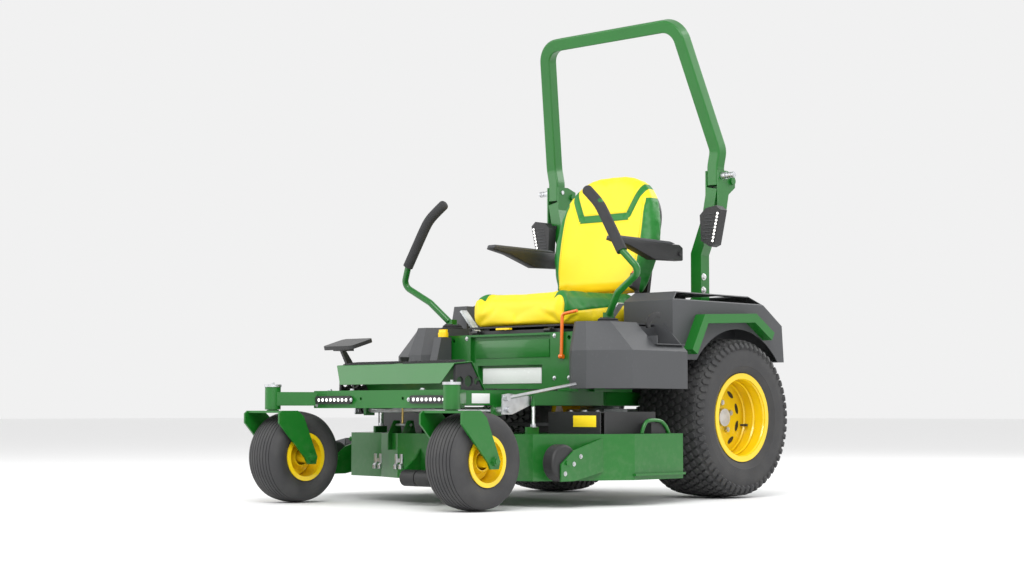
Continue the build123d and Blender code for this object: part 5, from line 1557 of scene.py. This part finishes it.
# ------------------------------------------------------------------ fittings
@dataclass
class Hardware:
    """Bolts, brackets, hoses and other small fittings on the frame and the deck."""

    shop: Shop
    patterns: Patterns

    def bolts(self) -> None:
        """Bolt heads in groups that face one way."""
        right, ahead, up = (0, math.radians(90), 0), (math.radians(90), 0, 0), (0, 0, 0)
        groups: tuple[tuple[str, str, str, float, Point, list[Point]], ...] = (
            (
                "deck_top_bolts",
                "zinc",
                "deck",
                1.0,
                up,
                [
                    (s * (0.3935 + 0.034 * a), -0.735 + 0.034 * b, 0.327)
                    for s in (-1, 1)
                    for a, b in ((1, 1), (1, -1), (-1, 1), (-1, -1))
                ],
            ),
            (
                "spindle_bolts",
                "zinc",
                "deck",
                1.0,
                up,
                [(0.060 * math.cos(a), -0.932 + 0.060 * math.sin(a), 0.250) for a in (0.5, 2.1, 3.6, 5.2)],
            ),
            (
                "front_beam_bolts",
                "zinc",
                "chassis",
                1.1,
                up,
                [(s * x, y, 0.402) for s in (-1, 1) for x, y in ((0.300, -1.333), (0.180, -1.333))],
            ),
            (
                "floor_bolts",
                "black",
                "chassis",
                0.9,
                up,
                [(s * 0.285, y, 0.403) for s in (-1, 1) for y in (-1.08, -0.92, -0.78)],
            ),
            (
                "engine_plate_bolts",
                "zinc",
                "chassis",
                1.1,
                up,
                [(s * 0.205, y, 0.405) for s in (-1, 1) for y in (0.09, 0.22, 0.34)],
            ),
            (
                "guard_bolts_left",
                "bright",
                "chassis",
                1.35,
                right,
                [(0.3600, 0.012, 0.851), (0.3600, 0.010, 0.799)],
            ),
            (
                "gauge_bolts",
                "zinc",
                "deck",
                0.8,
                right,
                [(0.586, -1.055, 0.118), (0.586, -1.010, 0.150), (0.586, -0.975, 0.175)],
            ),
            (
                "crossbar_bolts",
                "zinc",
                "chassis",
                0.7,
                ahead,
                [
                    (s * x, y, z)
                    for x, y, z in ((0.147, -1.3685, 0.369), (0.3425, -1.358, 0.350))
                    for s in (-1, 1)
                ],
            ),
            (
                "seat_box_bolts",
                "zinc",
                "chassis",
                0.8,
                ahead,
                [
                    (s * x, -0.707, z)
                    for s in (-1, 1)
                    for x, z in ((0.296, 0.45), (0.225, 0.45), (0.225, 0.605))
                ],
            ),
        )
        for name, finish, body, size, turn, places in groups:
            made = self.patterns.at(name, self.patterns.hex_head(), finish, places, turn, size)
            slot = Slot.BLACK if finish == "black" else Slot.ZINC
            self.shop.dress(made, finish, body, slot)

    def deck_latches(self) -> None:
        """Folded silver brackets on the front and left skirts, and the handle loop."""
        for name, x in (("front_latch_right", -0.215), ("front_latch_left", -0.105)):
            outline = [(-1.1725, 0.122), (-1.184, 0.122), (-1.184, 0.136), (-1.1765, 0.142), (-1.1765, 0.176)]
            outline += [(-1.1725, 0.176)]
            plates = [
                self.shop.prism("tab", outline, (x - 0.020, x - 0.006), "X", 0.001),
                self.shop.prism("tab", outline, (x + 0.006, x + 0.020), "X", 0.001),
                self.shop.slab("strap", (x - 0.020, x + 0.020), (-1.1762, -1.1724), (0.146, 0.160), 0.001),
            ]
            self.shop.dress(self.shop.join(name, plates), "zinc", "deck", Slot.ZINC)
        loop = self.shop.tube(
            "deck_handle",
            [
                (0.622, -0.690, 0.252),
                (0.628, -0.684, 0.292),
                (0.630, -0.640, 0.300),
                (0.630, -0.570, 0.292),
                (0.626, -0.545, 0.252),
            ],
            0.0065,
        )
        self.shop.dress(loop, "green", "deck", Slot.GREEN)
        lug = [(-1.168, 0.19), (-1.168, 0.248), (-1.140, 0.296)]
        lug += [(-1.112, 0.296), (-1.100, 0.25), (-1.100, 0.19)]
        for name, x in (("deck_lug_right", -0.172), ("deck_lug_left", -0.100)):
            plate = self.shop.prism(name, lug, (x, x + 0.005), "X", 0.0012)
            self.shop.dress(plate, "green", "deck", Slot.GREEN)
        rod = self.shop.tube("deck_stay", [(-0.135, -1.128, 0.282), (-0.135, -1.128, 0.340)], 0.004, False)
        self.shop.dress(rod, "brass", "deck", Slot.ZINC)
        ends = [(-0.178, -1.128, 0.280), (-0.090, -1.128, 0.280)]
        pin = self.shop.tube("deck_stay_pin", ends, 0.0055, False)
        self.shop.dress(pin, "zinc", "deck", Slot.ZINC)

    def lift_links(self) -> None:
        """Threaded sleeves and nuts on the hanging links."""
        for side, sign in SIDES:
            x, y = sign * 0.3868, -0.998
            steps: list[tuple[float, float]] = [(0.2755, 0.0066)]
            for turn in range(24):
                level = 0.277 + turn * 0.0029
                steps += [(level, 0.0068), (level + 0.0014, 0.0074)]
            sleeve = self.shop.turned(both("link_thread", side), steps, (x, y, 0.0), "Z", 20)
            self.shop.dress(sleeve, "bright", "deck", Slot.ZINC)
            nut = self.patterns.at(
                both("link_nut", side), self.patterns.hex_head(0.020, 0.012), "zinc", [(x, y, 0.2735)]
            )
            self.shop.dress(nut, "zinc", "deck", Slot.ZINC)

    def pocket_lever(self) -> None:
        """Curved black lever in each side pocket."""
        for side, sign in SIDES:
            upper, lower = [], []
            for step in range(11):
                turn = math.radians(200 - step * 11)
                upper.append((-0.470 + 0.075 * math.cos(turn), 0.600 + 0.045 * math.sin(turn) + 0.045))
                lower.append((-0.470 + 0.055 * math.cos(turn), 0.598 + 0.028 * math.sin(turn) + 0.042))
            outline = upper + lower[::-1]
            arm = self.shop.prism(
                both("pocket_lever", side), outline, (sign * 0.520, sign * 0.530), "X", 0.0015
            )
            self.shop.tidy_normals(arm)
            self.shop.dress(arm, "black_moulding", "chassis", Slot.PLASTIC)

    def engine_dress(self) -> None:
        """Fan screen, cooling fins, air cleaner, oil filter and hoses of the engine."""
        slat = self.shop.slab("slat", (-0.003, 0.003), (-0.0035, 0.0035), (-0.018, 0.018), 0.001)
        places = []
        for ring, count in ((0.055, 14), (0.095, 24)):
            for step in range(count):
                turn = 2 * math.pi * step / count
                places.append((ring * math.cos(turn), 0.135 + ring * math.sin(turn), 0.669))
        screen = self.patterns.at("fan_screen", slat, "black", places, (math.radians(90), 0, 0), 0.8)
        self.shop.dress(screen, "black", "chassis", Slot.BLACK)
        cap = [(0.667, 0.118), (0.674, 0.116), (0.676, 0.030), (0.684, 0.027)]
        hub = self.shop.turned("fan_hub", cap, (0, 0.135, 0), "Z", 40)
        self.shop.dress(hub, "black_moulding", "chassis", Slot.PLASTIC)
        for side, sign in SIDES:
            fin = self.shop.turned("fin", [(-0.0012, 0.062), (0.0012, 0.062)], (0, 0, 0), "Z", 24)
            lean = math.radians(70) * sign
            axis = Vector((math.sin(lean), 0, math.cos(lean)))
            start = Vector((sign * 0.150, 0.190, 0.500))
            places = [tuple(start + axis * (0.058 - 0.0085 * i)) for i in range(9)]
            fins = self.patterns.at(both("cylinder_fins", side), fin, "cast", places, (0, lean, 0))
            self.shop.dress(fins, "cast", "chassis", Slot.CAST)
        cleaner = self.shop.turned(
            "air_cleaner",
            [(-0.11, 0.050), (-0.105, 0.056), (0.05, 0.056), (0.055, 0.060), (0.07, 0.060), (0.075, 0.052)],
            (0.0, 0.235, 0.700),
        )
        self.shop.dress(cleaner, "black_moulding", "chassis", Slot.PLASTIC)
        filter_can = self.shop.turned(
            "oil_filter",
            [(0.300, 0.030), (0.306, 0.038), (0.360, 0.038), (0.372, 0.030)],
            (0.100, 0, 0.455),
            "Y",
            28,
        )
        self.shop.dress(filter_can, "yellow", "chassis", Slot.YELLOW)
        for side, sign in SIDES:
            hose = self.shop.tube(
                both("drive_hose", side),
                [
                    (sign * 0.090, 0.080, 0.300),
                    (sign * 0.080, 0.140, 0.320),
                    (sign * 0.120, 0.250, 0.370),
                    (sign * 0.165, 0.300, 0.430),
                    (sign * 0.150, 0.310, 0.470),
                ],
                0.009,
            )
            self.shop.dress(hose, "rubber", "chassis", Slot.RUBBER)

    def seat_springs(self) -> None:
        """Suspension springs between the seat plate and the box."""
        for side, sign in SIDES:
            line = []
            for step in range(61):
                turn = step * math.pi / 6
                line.append(
                    (
                        sign * 0.205 + 0.014 * math.cos(turn),
                        -0.30 + 0.014 * math.sin(turn),
                        0.6345 + 0.00012 * step,
                    )
                )
            spring = self.shop.tube(both("seat_spring", side), line, 0.0016, False, 6)
            self.shop.dress(spring, "zinc", "seat_base", Slot.ZINC)

    def build(self) -> None:
        """Make all the fittings."""
        self.bolts()
        self.deck_latches()
        self.lift_links()
        self.pocket_lever()
        self.engine_dress()
        self.seat_springs()


# ------------------------------------------------------------------ the frame's own finishes
# the finish that each material slot of the record gets
FRAME_FINISH: dict[str, str] = {
    "green_paint": "green",
    "yellow_paint": "yellow",
    "black_paint": "black",
    "tyre": "rear_tyre",
    "dark_plastic": "dark_moulding",
    "black_plastic": "black_moulding",
    "black_rubber": "rubber",
    "zinc": "zinc",
    "cast_aluminium": "cast",
    "seat_vinyl": "cushion",
    "yellow_plastic": "knob",
    "orange_paint": "orange",
    "guide_silver": "guide",
}


def dress_frame(frame: dict[str, Any], finishes: Finishes) -> None:
    """Give every CAD node the finish of its record slot.

    Args:
        frame: the loaded frame with its nodes and record.
        finishes: the machine's materials by name.
    """
    slots = {row["node"]: row["material_slot"] for row in frame["record"]["subparts"]}
    special = {"lamp_housings": "black_moulding", "control_console": "dark_moulding"}
    for name, node in frame["nodes"].items():
        finish = special.get(name, FRAME_FINISH[slots[name]])
        node.data.materials.clear()
        node.data.materials.append(finishes[finish])


@dataclass
class Studio:
    """Pale floor, soft lamps and the camera."""

    place: tuple[float, float, float] = (4.8692, -5.8742, 0.3324)
    turn: tuple[float, float, float] = (math.pi / 2 + 0.0643, 0.0, 0.7545)
    lens: float = 66.76

    def camera(self) -> None:
        """Place the camera."""
        data = bpy.data.cameras.new("camera")
        data.lens = self.lens
        data.sensor_width = 36.0
        data.clip_end = 200.0
        item = bpy.data.objects.new("camera", data)
        item.location = self.place
        item.rotation_euler = self.turn
        bpy.context.scene.collection.objects.link(item)
        bpy.context.scene.camera = item

    def lamp(self, name: str, place: Point, target: Point, size: float, power: float) -> None:
        """A square soft lamp that faces a target."""
        data = bpy.data.lights.new(name, "AREA")
        data.size = size
        data.energy = power
        item = bpy.data.objects.new(name, data)
        item.location = place
        facing = (Vector(target) - Vector(place)).to_track_quat("-Z", "Y")
        item.rotation_euler = facing.to_euler()
        bpy.context.scene.collection.objects.link(item)

    def build(self, shop: Shop) -> None:
        """Make the floor, sky and lamps."""
        reach = 60.0
        level = -0.001
        floor = shop.mesh(
            "floor",
            [(x * reach, y * reach, level) for x, y in ((-1, -1), (1, -1), (1, 1), (-1, 1))],
            [(0, 1, 2, 3)],
        )
        floor.data.materials.append(shop.finishes["ground"])
        world = bpy.data.worlds.new("studio")
        world.use_nodes = True
        sky = world.node_tree.nodes["Background"]
        sky.inputs[0].default_value = (1.0, 1.0, 1.0, 1.0)
        sky.inputs[1].default_value = 0.88
        bpy.context.scene.world = world
        self.lamp("key", (3.5, -4.5, 4.5), (0, -0.5, 0.6), 3.5, 270.0)
        self.lamp("fill", (-4.5, -4.0, 3.0), (0, -0.5, 0.6), 4.0, 110.0)
        self.lamp("rim", (1.5, 4.5, 4.0), (0, 0, 0.9), 3.5, 160.0)
        bpy.context.scene.view_settings.view_transform = "Standard"


def main() -> None:
    """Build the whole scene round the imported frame."""
    logging.basicConfig(level=logging.INFO, format="%(name)s: %(message)s")
    bpy.ops.wm.read_factory_settings(use_empty=True)
    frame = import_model()
    studio = Studio()
    studio.camera()
    finishes = Finishes()
    shop = Shop(finishes)
    patterns = Patterns(shop)
    dress_frame(frame, finishes)
    studio.build(shop)
    RearWheels(shop, patterns).build()
    FrontWheels(shop).build()
    Seat(shop, patterns).build()
    LeverGrips(shop, patterns).build()
    Lamps(shop, patterns).build()
    Labels(shop).build()
    Hardware(shop, patterns).build()
    LOG.info("%d pieces made", shop.count)


if __name__ == "__main__":
    main()
